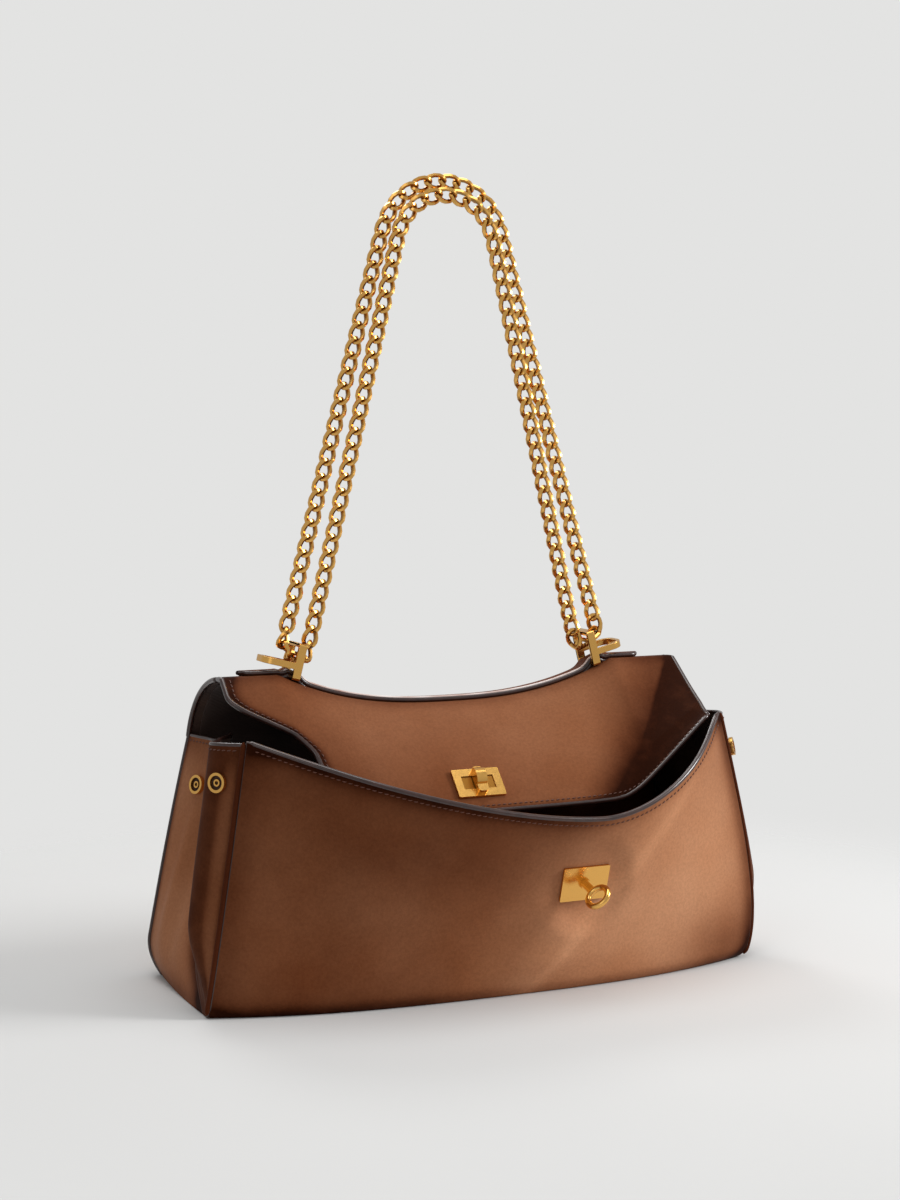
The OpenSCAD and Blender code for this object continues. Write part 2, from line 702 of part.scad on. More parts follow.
// A strand of the chain: a straight leg from each anchor, tangent to an arch over the top
arch_z0 = chain_top - arch_r;
function strand_foot(k) =
    let (e = turn_end(k) + [0, 0, window_rise])
    [e.x * cos(anchor_tilt) + e.z * sin(anchor_tilt) - anchor_x,
     e.z * cos(anchor_tilt) - e.x * sin(anchor_tilt) + anchor_base_z];
function strand_data(k, r) =
    let (foot = strand_foot(k), reach = norm([foot.x, arch_z0 - foot.y]),
         lean = acos(r / reach) - atan2(arch_z0 - foot.y, -foot.x),
         leg = sqrt(reach * reach - r * r),
         total = 2 * (leg + r * (90 - lean) * PI / 180))
    [foot, r, lean, leg, total, round(total / link_pitch)];
function strand_at(d, s) =
    let (foot = d[0], r = d[1], lean = d[2], leg = d[3], total = d[4],
         turn = lean + (s - leg) / r * 180 / PI)
    s > total / 2 ? let (m = strand_at(d, total - s)) [-m.x, m.y]
    : s < leg ? foot + s * [sin(lean), cos(lean)]
    : [-r * cos(turn), arch_z0 + r * sin(turn)];
function strand_joint(d, k, front) =
    let (s = k * d[4] / d[5], p = strand_at(d, s),
         climb = min(1, (p.y - d[0].y) / (arch_z0 - d[0].y)))
    [p.x, strap_y - front * sin(90 * climb), p.y];

outer_strand = strand_data(1, arch_r);
inner_strand = strand_data(3, arch_r - strand_in);

module strand_links(d, front, first, last) {
    for (k = [first:last]) let (a = strand_joint(d, k, front), b = strand_joint(d, k + 1, front))
        curb_link((a + b) / 2, unit(b - a), 0);
}

outer_mid = floor(outer_strand[5] / 2);
inner_mid = floor(inner_strand[5] / 2);

module chain_outer_left() {
    color(brass_gold) strand_links(outer_strand, -strand_front / 2, 0, outer_mid - 1);
}
module chain_outer_right() {
    color(brass_gold) strand_links(outer_strand, -strand_front / 2, outer_mid, outer_strand[5] - 1);
}
module chain_inner_left() {
    color(brass_gold) strand_links(inner_strand, strand_front / 2, 0, inner_mid - 1);
}
module chain_inner_right() {
    color(brass_gold) strand_links(inner_strand, strand_front / 2, inner_mid, inner_strand[5] - 1);
}
module chain_turn_links() {
    color(brass_gold) for (side = [-1, 1]) turn_links(side);
}

module snap_socket() {
    rotate_extrude() {
        translate([snap_d * 0.36, 0]) square([snap_d * 0.14, snap_h]);
        square([snap_d * 0.37, snap_h * 0.25]);
        translate([snap_d * 0.1, 0]) square([snap_d * 0.08, snap_h * 0.75]);
    }
}

// Snap places: how far along and how high each half of a gusset carries its snap
snap_front_share = [0.14, 0.86];
snap_rear_share = [0.47, 0.81];

module on_gusset(f, side, place) {
    on_face(f(place[0], place[1]), side * surf_normal(f, place[0], place[1])) children();
}

module snap_sockets(side) {
    color(brass_gold) {
        on_gusset(gusset_front_f(side), side, snap_front_share) translate([0, 0, 1.5 * layer_gap]) snap_socket();
        on_gusset(gusset_rear_f(side), side, snap_rear_share) translate([0, 0, 1.5 * layer_gap]) snap_socket();
    }
}
module left_snap_sockets() snap_sockets(-1);
module right_snap_sockets() snap_sockets(1);

module snap_caps(side) {
    cap_t = snap_h * 0.45;
    drop = -leather_t - 3 * layer_gap - cap_t;
    color(brass_gold) {
        on_gusset(gusset_front_f(side), side, snap_front_share)
            translate([0, 0, drop]) cylinder(d = snap_d * 0.85, h = cap_t);
        on_gusset(gusset_rear_f(side), side, snap_rear_share)
            translate([0, 0, drop]) cylinder(d = snap_d * 0.85, h = cap_t);
    }
}
module left_snap_caps() snap_caps(-1);
module right_snap_caps() snap_caps(1);

front_panel();
front_facing();
front_lining();
rear_panel();
rear_lining();
base_panel();
base_board();
left_gusset_front();
left_gusset_rear();
right_gusset_front();
right_gusset_rear();
divider();
flap();
flap_lining();
ridge_strap();
left_seam_binding();
right_seam_binding();
ring_plate();
ring_backplate();
ring_eye();
lock_plate();
lock_base();
lock_backplate();
lock_knob();
left_chain_anchor();
right_chain_anchor();
chain_outer_left();
chain_outer_right();
chain_inner_left();
chain_inner_right();
chain_turn_links();
left_snap_sockets();
left_snap_caps();
right_snap_sockets();
right_snap_caps();
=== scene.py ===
"""Looks of the chain shoulder bag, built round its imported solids.

Lengths are in millimetres until a piece's mesh is made. X runs to the bag's right, Y to its back and
Z up, and the origin is the middle of the base. A soft piece is a surface of two shares: u runs across
the piece and v up it or down it, both from 0 to 1.
"""

import json
import math

import bmesh
import bpy
import numpy as np
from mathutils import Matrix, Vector

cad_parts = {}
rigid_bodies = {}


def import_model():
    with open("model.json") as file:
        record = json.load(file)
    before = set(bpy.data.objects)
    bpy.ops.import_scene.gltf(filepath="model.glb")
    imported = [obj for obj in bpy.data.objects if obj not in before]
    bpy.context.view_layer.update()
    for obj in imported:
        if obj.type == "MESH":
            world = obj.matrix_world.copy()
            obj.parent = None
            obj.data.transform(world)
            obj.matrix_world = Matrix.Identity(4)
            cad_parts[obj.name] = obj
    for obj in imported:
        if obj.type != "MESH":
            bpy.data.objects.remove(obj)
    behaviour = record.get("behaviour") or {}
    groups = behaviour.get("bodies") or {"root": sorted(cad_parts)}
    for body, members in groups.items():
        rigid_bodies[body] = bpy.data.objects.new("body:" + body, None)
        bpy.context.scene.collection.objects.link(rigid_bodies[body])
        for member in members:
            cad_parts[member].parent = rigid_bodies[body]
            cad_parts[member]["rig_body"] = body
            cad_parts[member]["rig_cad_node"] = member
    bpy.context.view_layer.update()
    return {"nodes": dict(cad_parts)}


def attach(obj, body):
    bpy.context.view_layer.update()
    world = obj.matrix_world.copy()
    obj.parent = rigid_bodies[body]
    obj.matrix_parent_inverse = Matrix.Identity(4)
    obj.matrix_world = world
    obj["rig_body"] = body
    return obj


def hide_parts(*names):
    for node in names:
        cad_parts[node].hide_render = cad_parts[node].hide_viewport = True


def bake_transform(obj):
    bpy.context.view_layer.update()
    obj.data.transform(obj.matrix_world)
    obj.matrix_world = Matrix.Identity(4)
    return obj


MM = 0.001
SIDES = ((-1, "left"), (1, "right"))

# Sizes of the body, as in the solids
BODY_W, FRONT_Y, REAR_Y = 320.0, 57.0, 50.0
FRONT_H, REAR_H = 144.0, 134.0
RIDGE_H, RIDGE_SAG = 172.0, 20.0
RIM_LOW, RIM_LOW_X = 97.0, 49.0
BASE_BOW, FRONT_LEAN = 23.0, 24.0
LEAN_LEFT, LEAN_RIGHT = 22.0, 15.0
SIDE_PUFF, REAR_SPREAD = 10.0, 6.0
GUSSET_PUFF, GUSSET_FOLD, CREASE_IN, FOLD_SHARE = 3.0, 13.0, 12.0, 0.32
CORNER_ROLL = 14.0
LEATHER, LINING, LAYER_GAP = 2.0, 0.8, 0.3
GUSSET_T, FACING_T, CLOTH_T, BOARD_T = LEATHER * 0.9, 0.9, 0.6, 1.6
FACING_H = 22.0

# Sizes of the flap and the ridge strap
RIDGE_FRONT, FLAP_REACH, FLAP_LOW = 5.0, 65.0, 100.0
FLAP_LOW_LEFT, FLAP_LOW_RIGHT = BODY_W * 0.27, BODY_W * 0.266
WING_BACK, WING_UP, WING_SOFT = FRONT_Y * 0.25, FRONT_H * 0.3, 0.16
FLAP_T, FLAP_BEHIND, FLAP_EDGE_T = 1.6, 0.06, 2.6
STRAP_W, STRAP_T, STRAP_HALF, STRAP_Y, STRAP_SEAT = 12.0, 2.6, 123.0, 4.0, 0.1
RIDGE_LEFT = -(BODY_W / 2 - LEAN_LEFT - LEATHER * 1.5)
RIDGE_RIGHT = BODY_W / 2 - LEAN_RIGHT - LEATHER
RIDGE_FLAT = BODY_W * 0.32
CREASE_U = 0.8
WALL_SHARE, ARCH_SHARE, ARCH_START = 0.62, 0.9, math.radians(10)
ARCH_Y, ARCH_Z = -RIDGE_FRONT, REAR_H - CORNER_ROLL * 0.7
GUSSET_H, GUSSET_RISE = REAR_H + LAYER_GAP, FRONT_H - REAR_H - LEATHER

# Sizes of the chain
ANCHOR_X, ANCHOR_TILT = 93.0, math.radians(14)
LOOP_W, LOOP_H, BAND_T = 4.6, 20.5, 2.2
PACKING_W, PACKING_T = LOOP_W * 5.6, 3.2
LINK_PITCH, WIRE_D, LINK_W = 8.66, 2.1, 9.2
CHAIN_TOP, ARCH_R, STRAND_IN, STRAND_FRONT = 444.0, 37.5, 8.0, 5.0
LINK_A = (LINK_PITCH + WIRE_D * 1.2) / 2
LINK_B = (LINK_W - WIRE_D) / 2

# Sizes of the sewing and of the painted edges
THREAD_PITCH, THREAD_LONG, THREAD_R, THREAD_SLANT = 3.2, 2.5, 0.36, 0.18
STITCH_IN, STITCH_LIFT = 2.8, 0.05
BEAD_SIDES, TIP_SHARE, NECK_SHARE = 14, 0.4, 0.85  # a bead is thinner at its tip and just before it
FRONT_BEAD, GUSSET_BEAD, ARCH_BEAD, STRAP_BEAD, HIGHLIGHT_BEAD = 1.55, 1.15, 1.6, 1.2, 0.62
FLAP_SIDE_BEAD, FLAP_LOW_BEAD, SEAM_BEAD = 1.55, 1.5, 1.5
AT_START, AT_END = 0.0005, 0.9995  # shares just inside a rim, where the surface still has a slope

# Where the front panel's long crest meets the base and how it slants, and the middle of the ring plate
CREST_X, CREST_RUN, CREST_FALL = 5.0, 0.747, 0.665
PLATE_X, PLATE_Z = 42.0, 61.0

# Where the photo was taken from, in metres, and its focal length in pixels of its height
CAMERA_AT, CAMERA_YAW, CAMERA_PITCH = (-0.484, -1.11, 0.312), math.radians(23.64), math.radians(4.85)
SENSOR_MM, FOCAL_PX, PHOTO_PX = 36, 2147, 1200


# ---- camera ----
def add_camera():
    """A camera at the photo's viewing angle: turned right of straight ahead, and looking slightly down."""
    data = bpy.data.cameras.new("camera")
    data.lens = SENSOR_MM * FOCAL_PX / PHOTO_PX
    camera = bpy.data.objects.new("camera", data)
    camera.location = CAMERA_AT
    camera.rotation_euler = (math.pi / 2 - CAMERA_PITCH, 0, -CAMERA_YAW)
    bpy.context.scene.collection.objects.link(camera)
    bpy.context.scene.camera = camera


add_camera()
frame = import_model()


# ---- materials ----
def srgb(code):
    """Linear colour of an sRGB hex value."""
    parts = [int(code[i:i + 2], 16) / 255 for i in (1, 3, 5)]
    return tuple(p / 12.92 if p <= 0.04045 else ((p + 0.055) / 1.055) ** 2.4 for p in parts) + (1.0,)


def scale_of(size):
    """Scale of a pattern whose spots, pores or ribs are the given number of millimetres apart."""
    return 1 / (size * MM)


def node(tree, kind, inputs=None, out=0, **settings):
    """Adds a node, sets its settings, sets or links its inputs by name or number, and returns the output
    of the given name or number."""
    made = tree.nodes.new(kind)
    for name, value in settings.items():
        setattr(made, name, value)
    for name, value in (inputs or {}).items():
        if isinstance(value, bpy.types.NodeSocket):
            tree.links.new(value, made.inputs[name])
        else:
            made.inputs[name].default_value = value
    return made.outputs[out] if made.outputs else None


def new_material(name):
    """A node material with an empty tree, and the coordinates that its patterns are drawn in."""
    material = bpy.data.materials.new(name)
    material.use_nodes = True
    tree = material.node_tree
    tree.nodes.clear()
    return material, tree, node(tree, "ShaderNodeTexCoord", out="Object")


def burnished_calf(name, light, mid, rough):
    """Calf leather, dyed, waxed and burnished by hand. The wax gives it a low, soft sheen, the pores a fine
    grain, and the darkening, which is partly dye rubbed in along the edges and partly painted shade, takes
    away more green and blue than red."""
    material, tree, where = new_material(name)
    # This attribute holds both the rubbed-in dye and painted shade
    rub_and_shade = node(tree, "ShaderNodeAttribute", out="Fac", attribute_name="burnish_and_shade")

    # Two tones of tan in soft clouds, 80 mm across
    cloud = node(tree, "ShaderNodeTexNoise",
                 {"Vector": where, "Scale": scale_of(80), "Detail": 2.0, "Roughness": 0.55}, "Fac")
    cloud = node(tree, "ShaderNodeMapRange", {"Value": cloud, "From Min": 0.28, "From Max": 0.72}, "Result",
                 clamp=True)
    colour = node(tree, "ShaderNodeMix", {0: cloud, 6: srgb(mid), 7: srgb(light)}, 2, data_type="RGBA")

    # The darkening, a little uneven in spots of 14 mm: rubbed-in dye and painted shade together; kept is the
    # share of light that it leaves
    scuff = node(tree, "ShaderNodeTexNoise",
                 {"Vector": where, "Scale": scale_of(14), "Detail": 4.0, "Roughness": 0.6}, "Fac")
    uneven = node(tree, "ShaderNodeMapRange", {"Value": scuff, "From Min": 0.2, "From Max": 0.8}, "Result",
                  clamp=True)
    uneven = node(tree, "ShaderNodeMath", {0: uneven, 1: 0.10, 2: 0.95}, operation="MULTIPLY_ADD")
    share = node(tree, "ShaderNodeMath", {0: rub_and_shade, 1: uneven}, operation="MULTIPLY", use_clamp=True)
    kept = node(tree, "ShaderNodeMath", {0: share, 1: -0.96, 2: 1.0}, operation="MULTIPLY_ADD")
    green = node(tree, "ShaderNodeMath", {0: kept, 1: 1.25}, operation="POWER")
    blue = node(tree, "ShaderNodeMath", {0: kept, 1: 1.38}, operation="POWER")
    dye_and_shade = node(tree, "ShaderNodeCombineColor", {"Red": kept, "Green": green, "Blue": blue})
    colour = node(tree, "ShaderNodeMix", {0: 1.0, 6: colour, 7: dye_and_shade}, 2, data_type="RGBA",
                  blend_type="MULTIPLY")

    # Flecks of 1.6 mm where the wax lies thicker
    fleck = node(tree, "ShaderNodeTexNoise",
                 {"Vector": where, "Scale": scale_of(1.6), "Detail": 4.0, "Roughness": 0.7}, "Fac")
    fleck = node(tree, "ShaderNodeMapRange", {"Value": fleck, "From Min": 0.35, "From Max": 0.62}, "Result",
                 clamp=True)
    fleck = node(tree, "ShaderNodeMath", {0: fleck, 1: 0.16, 2: 0.84}, operation="MULTIPLY_ADD")
    colour = node(tree, "ShaderNodeMix", {0: 1.0, 6: colour, 7: fleck}, 2, data_type="RGBA",
                  blend_type="MULTIPLY")

    # Pores 0.7 mm apart, over soft creases of 5 mm
    pores = node(tree, "ShaderNodeTexVoronoi", {"Vector": where, "Scale": scale_of(0.7), "Randomness": 1.0},
                 "Distance", feature="SMOOTH_F1")
    creases = node(tree, "ShaderNodeTexNoise",
                   {"Vector": where, "Scale": scale_of(5), "Detail": 3.0, "Roughness": 0.6}, "Fac")
    relief = node(tree, "ShaderNodeBump", {"Height": creases, "Strength": 0.35, "Distance": 0.18 * MM})
    relief = node(tree, "ShaderNodeBump",
                  {"Height": pores, "Strength": 0.35, "Distance": 0.08 * MM, "Normal": relief})
    gloss = node(tree, "ShaderNodeMath", {0: scuff, 1: 0.16, 2: rough - 0.08}, operation="MULTIPLY_ADD")
    shader = node(tree, "ShaderNodeBsdfPrincipled",
                  {"Base Color": colour, "Roughness": gloss, "Normal": relief, "IOR": 1.5,
                   "Specular IOR Level": 0.05, "Specular Tint": srgb("#E8AE82")})
    node(tree, "ShaderNodeOutputMaterial", {"Surface": shader})
    return material


def painted_edge():
    """Leather edge painted with several coats of dark aubergine-brown acrylic and melted smooth: rounded
    and glossy, with waves of 6 mm in its tone and its skin."""
    material, tree, where = new_material("painted_edge")
    wave = node(tree, "ShaderNodeTexNoise",
                {"Vector": where, "Scale": scale_of(6), "Detail": 2.0, "Roughness": 0.55}, "Fac")
    share = node(tree, "ShaderNodeMapRange", {"Value": wave, "From Min": 0.35, "From Max": 0.7}, "Result",
                 clamp=True)
    colour = node(tree, "ShaderNodeMix", {0: share, 6: srgb("#2A1612"), 7: srgb("#3C221B")}, 2,
                  data_type="RGBA")
    relief = node(tree, "ShaderNodeBump", {"Height": wave, "Strength": 0.25, "Distance": 0.2 * MM})
    shader = node(tree, "ShaderNodeBsdfPrincipled",
                  {"Base Color": colour, "Roughness": 0.30, "Normal": relief, "IOR": 1.49,
                   "Specular IOR Level": 0.4, "Coat Weight": 0.6, "Coat Roughness": 0.14})
    node(tree, "ShaderNodeOutputMaterial", {"Surface": shader})
    return material


def painted_highlight_edge():
    """Painted highlight along the strap's front edge: pale pink to near white in patches of 25 mm, where the
    rounded edge would catch the light."""
    material, tree, where = new_material("painted_highlight_edge")
    patch = node(tree, "ShaderNodeTexNoise",
                 {"Vector": where, "Scale": scale_of(25), "Detail": 2.0, "Roughness": 0.55}, "Fac")
    share = node(tree, "ShaderNodeMapRange", {"Value": patch, "From Min": 0.35, "From Max": 0.62}, "Result",
                 clamp=True)
    colour = node(tree, "ShaderNodeMix", {0: share, 6: srgb("#C09A8C"), 7: srgb("#F6ECE7")}, 2,
                  data_type="RGBA")
    shader = node(tree, "ShaderNodeBsdfPrincipled", {"Base Color": colour, "Roughness": 0.25, "IOR": 1.49})
    node(tree, "ShaderNodeOutputMaterial", {"Surface": shader})
    return material


def brown_lining(name, light, dark):
    """Brown lining, as a cotton twill or as the brushed inner side of the leather: dull, with a short
    sheen and fine ribs. They are 0.5 mm apart and are drawn 1 mm apart, to show."""
    material, tree, where = new_material(name)
    turned = node(tree, "ShaderNodeMapping", {"Vector": where, "Rotation": (0.6, 0.7, 0.785)})
    rib = node(tree, "ShaderNodeTexWave",
               {"Vector": turned, "Scale": scale_of(1.0) / 6.28, "Distortion": 0.4, "Detail": 1.0}, "Fac")
    cloud = node(tree, "ShaderNodeTexNoise",
                 {"Vector": where, "Scale": scale_of(30), "Detail": 3.0, "Roughness": 0.55}, "Fac")
    cloud = node(tree, "ShaderNodeMapRange", {"Value": cloud, "From Min": 0.3, "From Max": 0.7}, "Result",
                 clamp=True)
    colour = node(tree, "ShaderNodeMix", {0: cloud, 6: srgb(dark), 7: srgb(light)}, 2, data_type="RGBA")
    relief = node(tree, "ShaderNodeBump", {"Height": rib, "Strength": 0.4, "Distance": 0.1 * MM})
    shader = node(tree, "ShaderNodeBsdfPrincipled",
                  {"Base Color": colour, "Roughness": 0.85, "Normal": relief, "Sheen Weight": 0.15,
                   "Sheen Roughness": 0.4})
    node(tree, "ShaderNodeOutputMaterial", {"Surface": shader})
    return material


def waxed_thread():
    """Waxed polyester thread, tone on tone with the leather: a mild shine, and two twisted plies that
    differ in tone every 0.5 mm."""
    material, tree, where = new_material("waxed_thread")
    ply = node(tree, "ShaderNodeTexNoise", {"Vector": where, "Scale": scale_of(0.5), "Detail": 1.0}, "Fac")
    colour = node(tree, "ShaderNodeMix", {0: ply, 6: srgb("#3A1D13"), 7: srgb("#6B3A26")}, 2,
                  data_type="RGBA")
    shader = node(tree, "ShaderNodeBsdfPrincipled", {"Base Color": colour, "Roughness": 0.5})
    node(tree, "ShaderNodeOutputMaterial", {"Surface": shader})
    return material


def gold_plate(name, light, deep, rough):
    """Gold-plated brass, cast and polished: bright and warm with sharp reflections, slightly clouded in
    spots of 3 mm, and with painted shade in the deep colour where the hollow attribute says, on the inner
    side of the chain's links."""
    material, tree, where = new_material(name)
    # Painted shade: the deep colour on the inner side of each chain link
    hollow = node(tree, "ShaderNodeAttribute", out="Fac", attribute_name="hollow")
    colour = node(tree, "ShaderNodeMix", {0: hollow, 6: srgb(light), 7: srgb(deep)}, 2, data_type="RGBA")
    cloud = node(tree, "ShaderNodeTexNoise",
                 {"Vector": where, "Scale": scale_of(3), "Detail": 3.0, "Roughness": 0.55}, "Fac")
    gloss = node(tree, "ShaderNodeMath", {0: cloud, 1: 0.14, 2: rough - 0.05}, operation="MULTIPLY_ADD")
    fine = node(tree, "ShaderNodeTexNoise",
                {"Vector": where, "Scale": scale_of(1.2), "Detail": 2.0, "Roughness": 0.55}, "Fac")
    relief = node(tree, "ShaderNodeBump", {"Height": fine, "Strength": 0.12, "Distance": 0.05 * MM})
    shader = node(tree, "ShaderNodeBsdfPrincipled",
                  {"Base Color": colour, "Metallic": 1.0, "Roughness": gloss, "Normal": relief})
    node(tree, "ShaderNodeOutputMaterial", {"Surface": shader})
    return material


LEATHER_TAN = burnished_calf("burnished_tan_calf", "#D49C76", "#BC7D55", 0.54)
LEATHER_DARK = burnished_calf("burnished_brown_calf", "#7A452C", "#663824", 0.50)
EDGE = painted_edge()
# A painted highlight: pale paint where the strap's rounded front edge would catch the light
HIGHLIGHT_PAINT = painted_highlight_edge()
CLOTH = brown_lining("brown_lining_twill", "#3C281F", "#241610")
SUEDE = brown_lining("brown_lining_suede", "#4A3022", "#2E1C14")
THREAD = waxed_thread()
GOLD = gold_plate("gold_plated_brass", "#EBB562", "#63360F", 0.20)
# A shaded copy of the plated brass: painted shade on the lock's base, down in the plate's slot
GOLD_SHADED = gold_plate("gold_plated_brass_shaded_in_slot", "#9A6A2C", "#4A2A0C", 0.34)

# Outer face, edge and inner face of each kind of sheet
TAN_SHEET = (LEATHER_TAN, EDGE, SUEDE)
DARK_SHEET = (LEATHER_DARK, EDGE, SUEDE)
DARK_BOTH_SIDES = (LEATHER_DARK, EDGE, LEATHER_DARK)
CLOTH_SHEET = (CLOTH, CLOTH, CLOTH)


# ---- mesh helpers ----
SHARP_FROM = math.radians(55)
SLOPE_STEP, RIM_STEP = 0.002, 0.003  # steps in u and v over which a surface's slope is taken
EDGE_ROWS = 4


def unit(a):
    """Vectors scaled to length one along their last axis."""
    return a / np.maximum(np.linalg.norm(a, axis=-1, keepdims=True), 1e-9)


def lerp(a, b, t):
    """The value t of the way from a to b."""
    return a + (b - a) * t


def bump(t):
    """Half a sine wave, 0 at both ends and 1 in the middle."""
    return np.sin(np.pi * t)


def hill(d, width):
    """A smooth hill, 1 at distance 0 and near 0 beyond the width."""
    return np.exp(-(d / width) ** 2)


def smooth(t):
    """An S curve from 0 to 1."""
    t = np.clip(t, 0, 1)
    return t * t * (3 - 2 * t)


def add_mesh(name, points, faces, materials, face_material=None, attributes=None):
    """A smooth-shaded object from points in millimetres and faces as lists of point numbers."""
    mesh = bpy.data.meshes.new(name)
    mesh.from_pydata((np.asarray(points) * MM).tolist(), [], faces)
    for material in materials:
        mesh.materials.append(material)
    if face_material is not None:
        mesh.polygons.foreach_set("material_index", np.asarray(face_material, np.int32))
    mesh.polygons.foreach_set("use_smooth", np.ones(len(mesh.polygons), bool))
    for key, values in (attributes or {}).items():
        layer = mesh.attributes.new(key, "FLOAT", "POINT")
        layer.data.foreach_set("value", np.asarray(values, np.float32).ravel())
    mesh.update()
    mesh.set_sharp_from_angle(angle=SHARP_FROM)
    made = bpy.data.objects.new(name, mesh)
    bpy.context.scene.collection.objects.link(made)
    return made


def grid_quads(nu, nv):
    """Quads of a grid of nv rows of nu points, row after row."""
    i, j = np.meshgrid(np.arange(nu - 1), np.arange(nv - 1))
    a = (j * nu + i).ravel()
    return np.stack([a, a + 1, a + nu + 1, a + nu], 1)


def slopes(surface, u, v, step):
    """Unit vectors along u and along v on a surface, from its differences over a step each way."""
    du = surface(np.clip(u + step, 0, 1), v) - surface(np.clip(u - step, 0, 1), v)
    dv = surface(u, np.clip(v + step, 0, 1)) - surface(u, np.clip(v - step, 0, 1))
    return unit(du), unit(dv)


def surface_normals(surface, u, v):
    """Unit normals of a surface: square to its slopes along u and along v."""
    return unit(np.cross(*slopes(surface, u, v, SLOPE_STEP)))


def border(nu, nv):
    """Point numbers round the rim of a grid, and at each the outward steps in u and in v."""
    grid = np.arange(nu * nv).reshape(nv, nu)
    loop = np.concatenate([grid[0, :-1], grid[:-1, -1], grid[-1, :0:-1], grid[:0:-1, 0]])
    row, col = loop // nu, loop % nu
    step_u = (col == nu - 1).astype(float) - (col == 0)
    step_v = (row == nv - 1).astype(float) - (row == 0)
    return loop, step_u, step_v


def leather_sheet(name, surface, us, vs, thick, out, materials, shade=None, lift=0.0, plain=()):
    """A sheet of leather with rounded edges: the surface, a copy of it set in along its normals by
    the thickness, and half-round rows between the two rims. out is +1 where the surface's own normal
    points outwards and -1 where it points inwards. shade says how dark each place is, from rubbed-in dye and
    painted shade, lift moves the sheet out along its normals, and plain names the sides whose edge stays
    square."""
    u, v = np.meshgrid(us, vs)
    nu, nv = len(us), len(vs)
    count = nu * nv
    normal = out * surface_normals(surface, u, v)
    top = (surface(u, v) + lift * normal).reshape(-1, 3)
    normal = normal.reshape(-1, 3)
    under = top - thick * normal

    loop, step_u, step_v = border(nu, nv)
    along_u, along_v = slopes(surface, u.ravel()[loop], v.ravel()[loop], RIM_STEP)
    outward = unit(along_u * step_u[:, None] + along_v * step_v[:, None])
    outward = unit(outward - normal[loop] * (outward * normal[loop]).sum(1, keepdims=True))
    row, col = loop // nu, loop % nu
    swell = np.ones(len(loop))
    for side, here in (("low", row == 0), ("high", row == nv - 1),
                       ("start", col == 0), ("end", col == nu - 1)):
        if side in plain:
            swell[here] = 0.0
    middle = top[loop] - 0.5 * thick * normal[loop]
    rings = [middle + 0.5 * thick * math.cos(angle) * normal[loop]
             + (0.5 * thick * math.sin(angle) * swell)[:, None] * outward
             for angle in np.pi * np.arange(1, EDGE_ROWS + 1) / (EDGE_ROWS + 1)]
    points = np.concatenate([top, under] + rings)
    points[:, 2] = np.maximum(points[:, 2], 0)  # nothing goes below the ground

    flat = grid_quads(nu, nv)
    around = [loop] + [2 * count + k * len(loop) + np.arange(len(loop)) for k in range(EDGE_ROWS)]
    around += [loop + count]
    walls = np.concatenate([np.stack([a, b, np.roll(b, -1), np.roll(a, -1)], 1)
                            for a, b in zip(around, around[1:])])
    faces = np.concatenate([flat, flat[:, ::-1] + count, walls])
    if out < 0:
        faces = faces[:, ::-1]
    kind = np.repeat([0, len(materials) - 1, 1], [len(flat), len(flat), len(walls)])
    burnish_and_shade = np.clip(shade(u, v).ravel(), 0, 1) if shade else np.zeros(count)
    burnish_and_shade = np.concatenate([burnish_and_shade, burnish_and_shade] + [burnish_and_shade[loop]] * EDGE_ROWS)
    return add_mesh(name, points, faces.tolist(), materials, kind, {"burnish_and_shade": burnish_and_shade})


def tubes(name, centres, e1, e2, radius, sides, materials, closed=False, attributes=None):
    """Many round wires at once. Each is a row of centres with two side vectors and a radius at each
    centre; a circle in those vectors is carried along the row. Open wires end in a point."""
    wires, length = centres.shape[:2]
    angle = 2 * np.pi * (np.arange(sides) + 0.5) / sides
    ring = np.cos(angle)[:, None] * e1[:, :, None, :] + np.sin(angle)[:, None] * e2[:, :, None, :]
    points = (centres[:, :, None, :] + radius[:, :, None, None] * ring).reshape(-1, 3)
    here, at = np.meshgrid(np.arange(length if closed else length - 1), np.arange(sides), indexing="ij")
    ahead, beside = (here + 1) % length, (at + 1) % sides
    one = np.stack([here * sides + at, here * sides + beside, ahead * sides + beside, ahead * sides + at], -1)
    first = np.arange(wires)[:, None] * length * sides
    faces = (one.reshape(-1, 4) + first[:, :, None]).reshape(-1, 4).tolist()
    if not closed:
        last = first + (length - 1) * sides
        low_tip = len(points) + np.arange(wires)[:, None] + np.zeros(sides, int)
        at, beside = np.arange(sides), (np.arange(sides) + 1) % sides
        low = np.stack([low_tip, first + beside, first + at], -1)
        high = np.stack([low_tip + wires, last + at, last + beside], -1)
        faces += np.concatenate([low, high], 1).reshape(-1, 3).tolist()
        points = np.concatenate([points, centres[:, 0], centres[:, -1]])
    return add_mesh(name, points, faces, materials, None, attributes)


def path_frames(path, up):
    """Two side vectors along a path: the second is square to it and close to up, and the first is
    square to both."""
    along = unit(np.gradient(path, axis=0))
    e2 = unit(up - along * (up * along).sum(-1, keepdims=True))
    return unit(np.cross(e2, along)), e2


def resample(path, normals, pitch):
    """Points at equal distances along a path, with their directions and normals. A direction runs from
    half a millimetre behind a point to half a millimetre ahead of it."""
    length = np.concatenate([[0], np.cumsum(np.linalg.norm(np.diff(path, axis=0), axis=1))])
    count = max(2, int(length[-1] // pitch))
    at = (np.arange(count) + 0.5) * length[-1] / count

    def read(rows, where):
        """The rows' values at distances along the path."""
        return np.stack([np.interp(where, length, rows[:, k]) for k in range(3)], 1)

    ahead, behind = np.minimum(at + 0.5, length[-1]), np.maximum(at - 0.5, 0)
    return read(path, at), unit(read(path, ahead) - read(path, behind)), unit(read(normals, at))


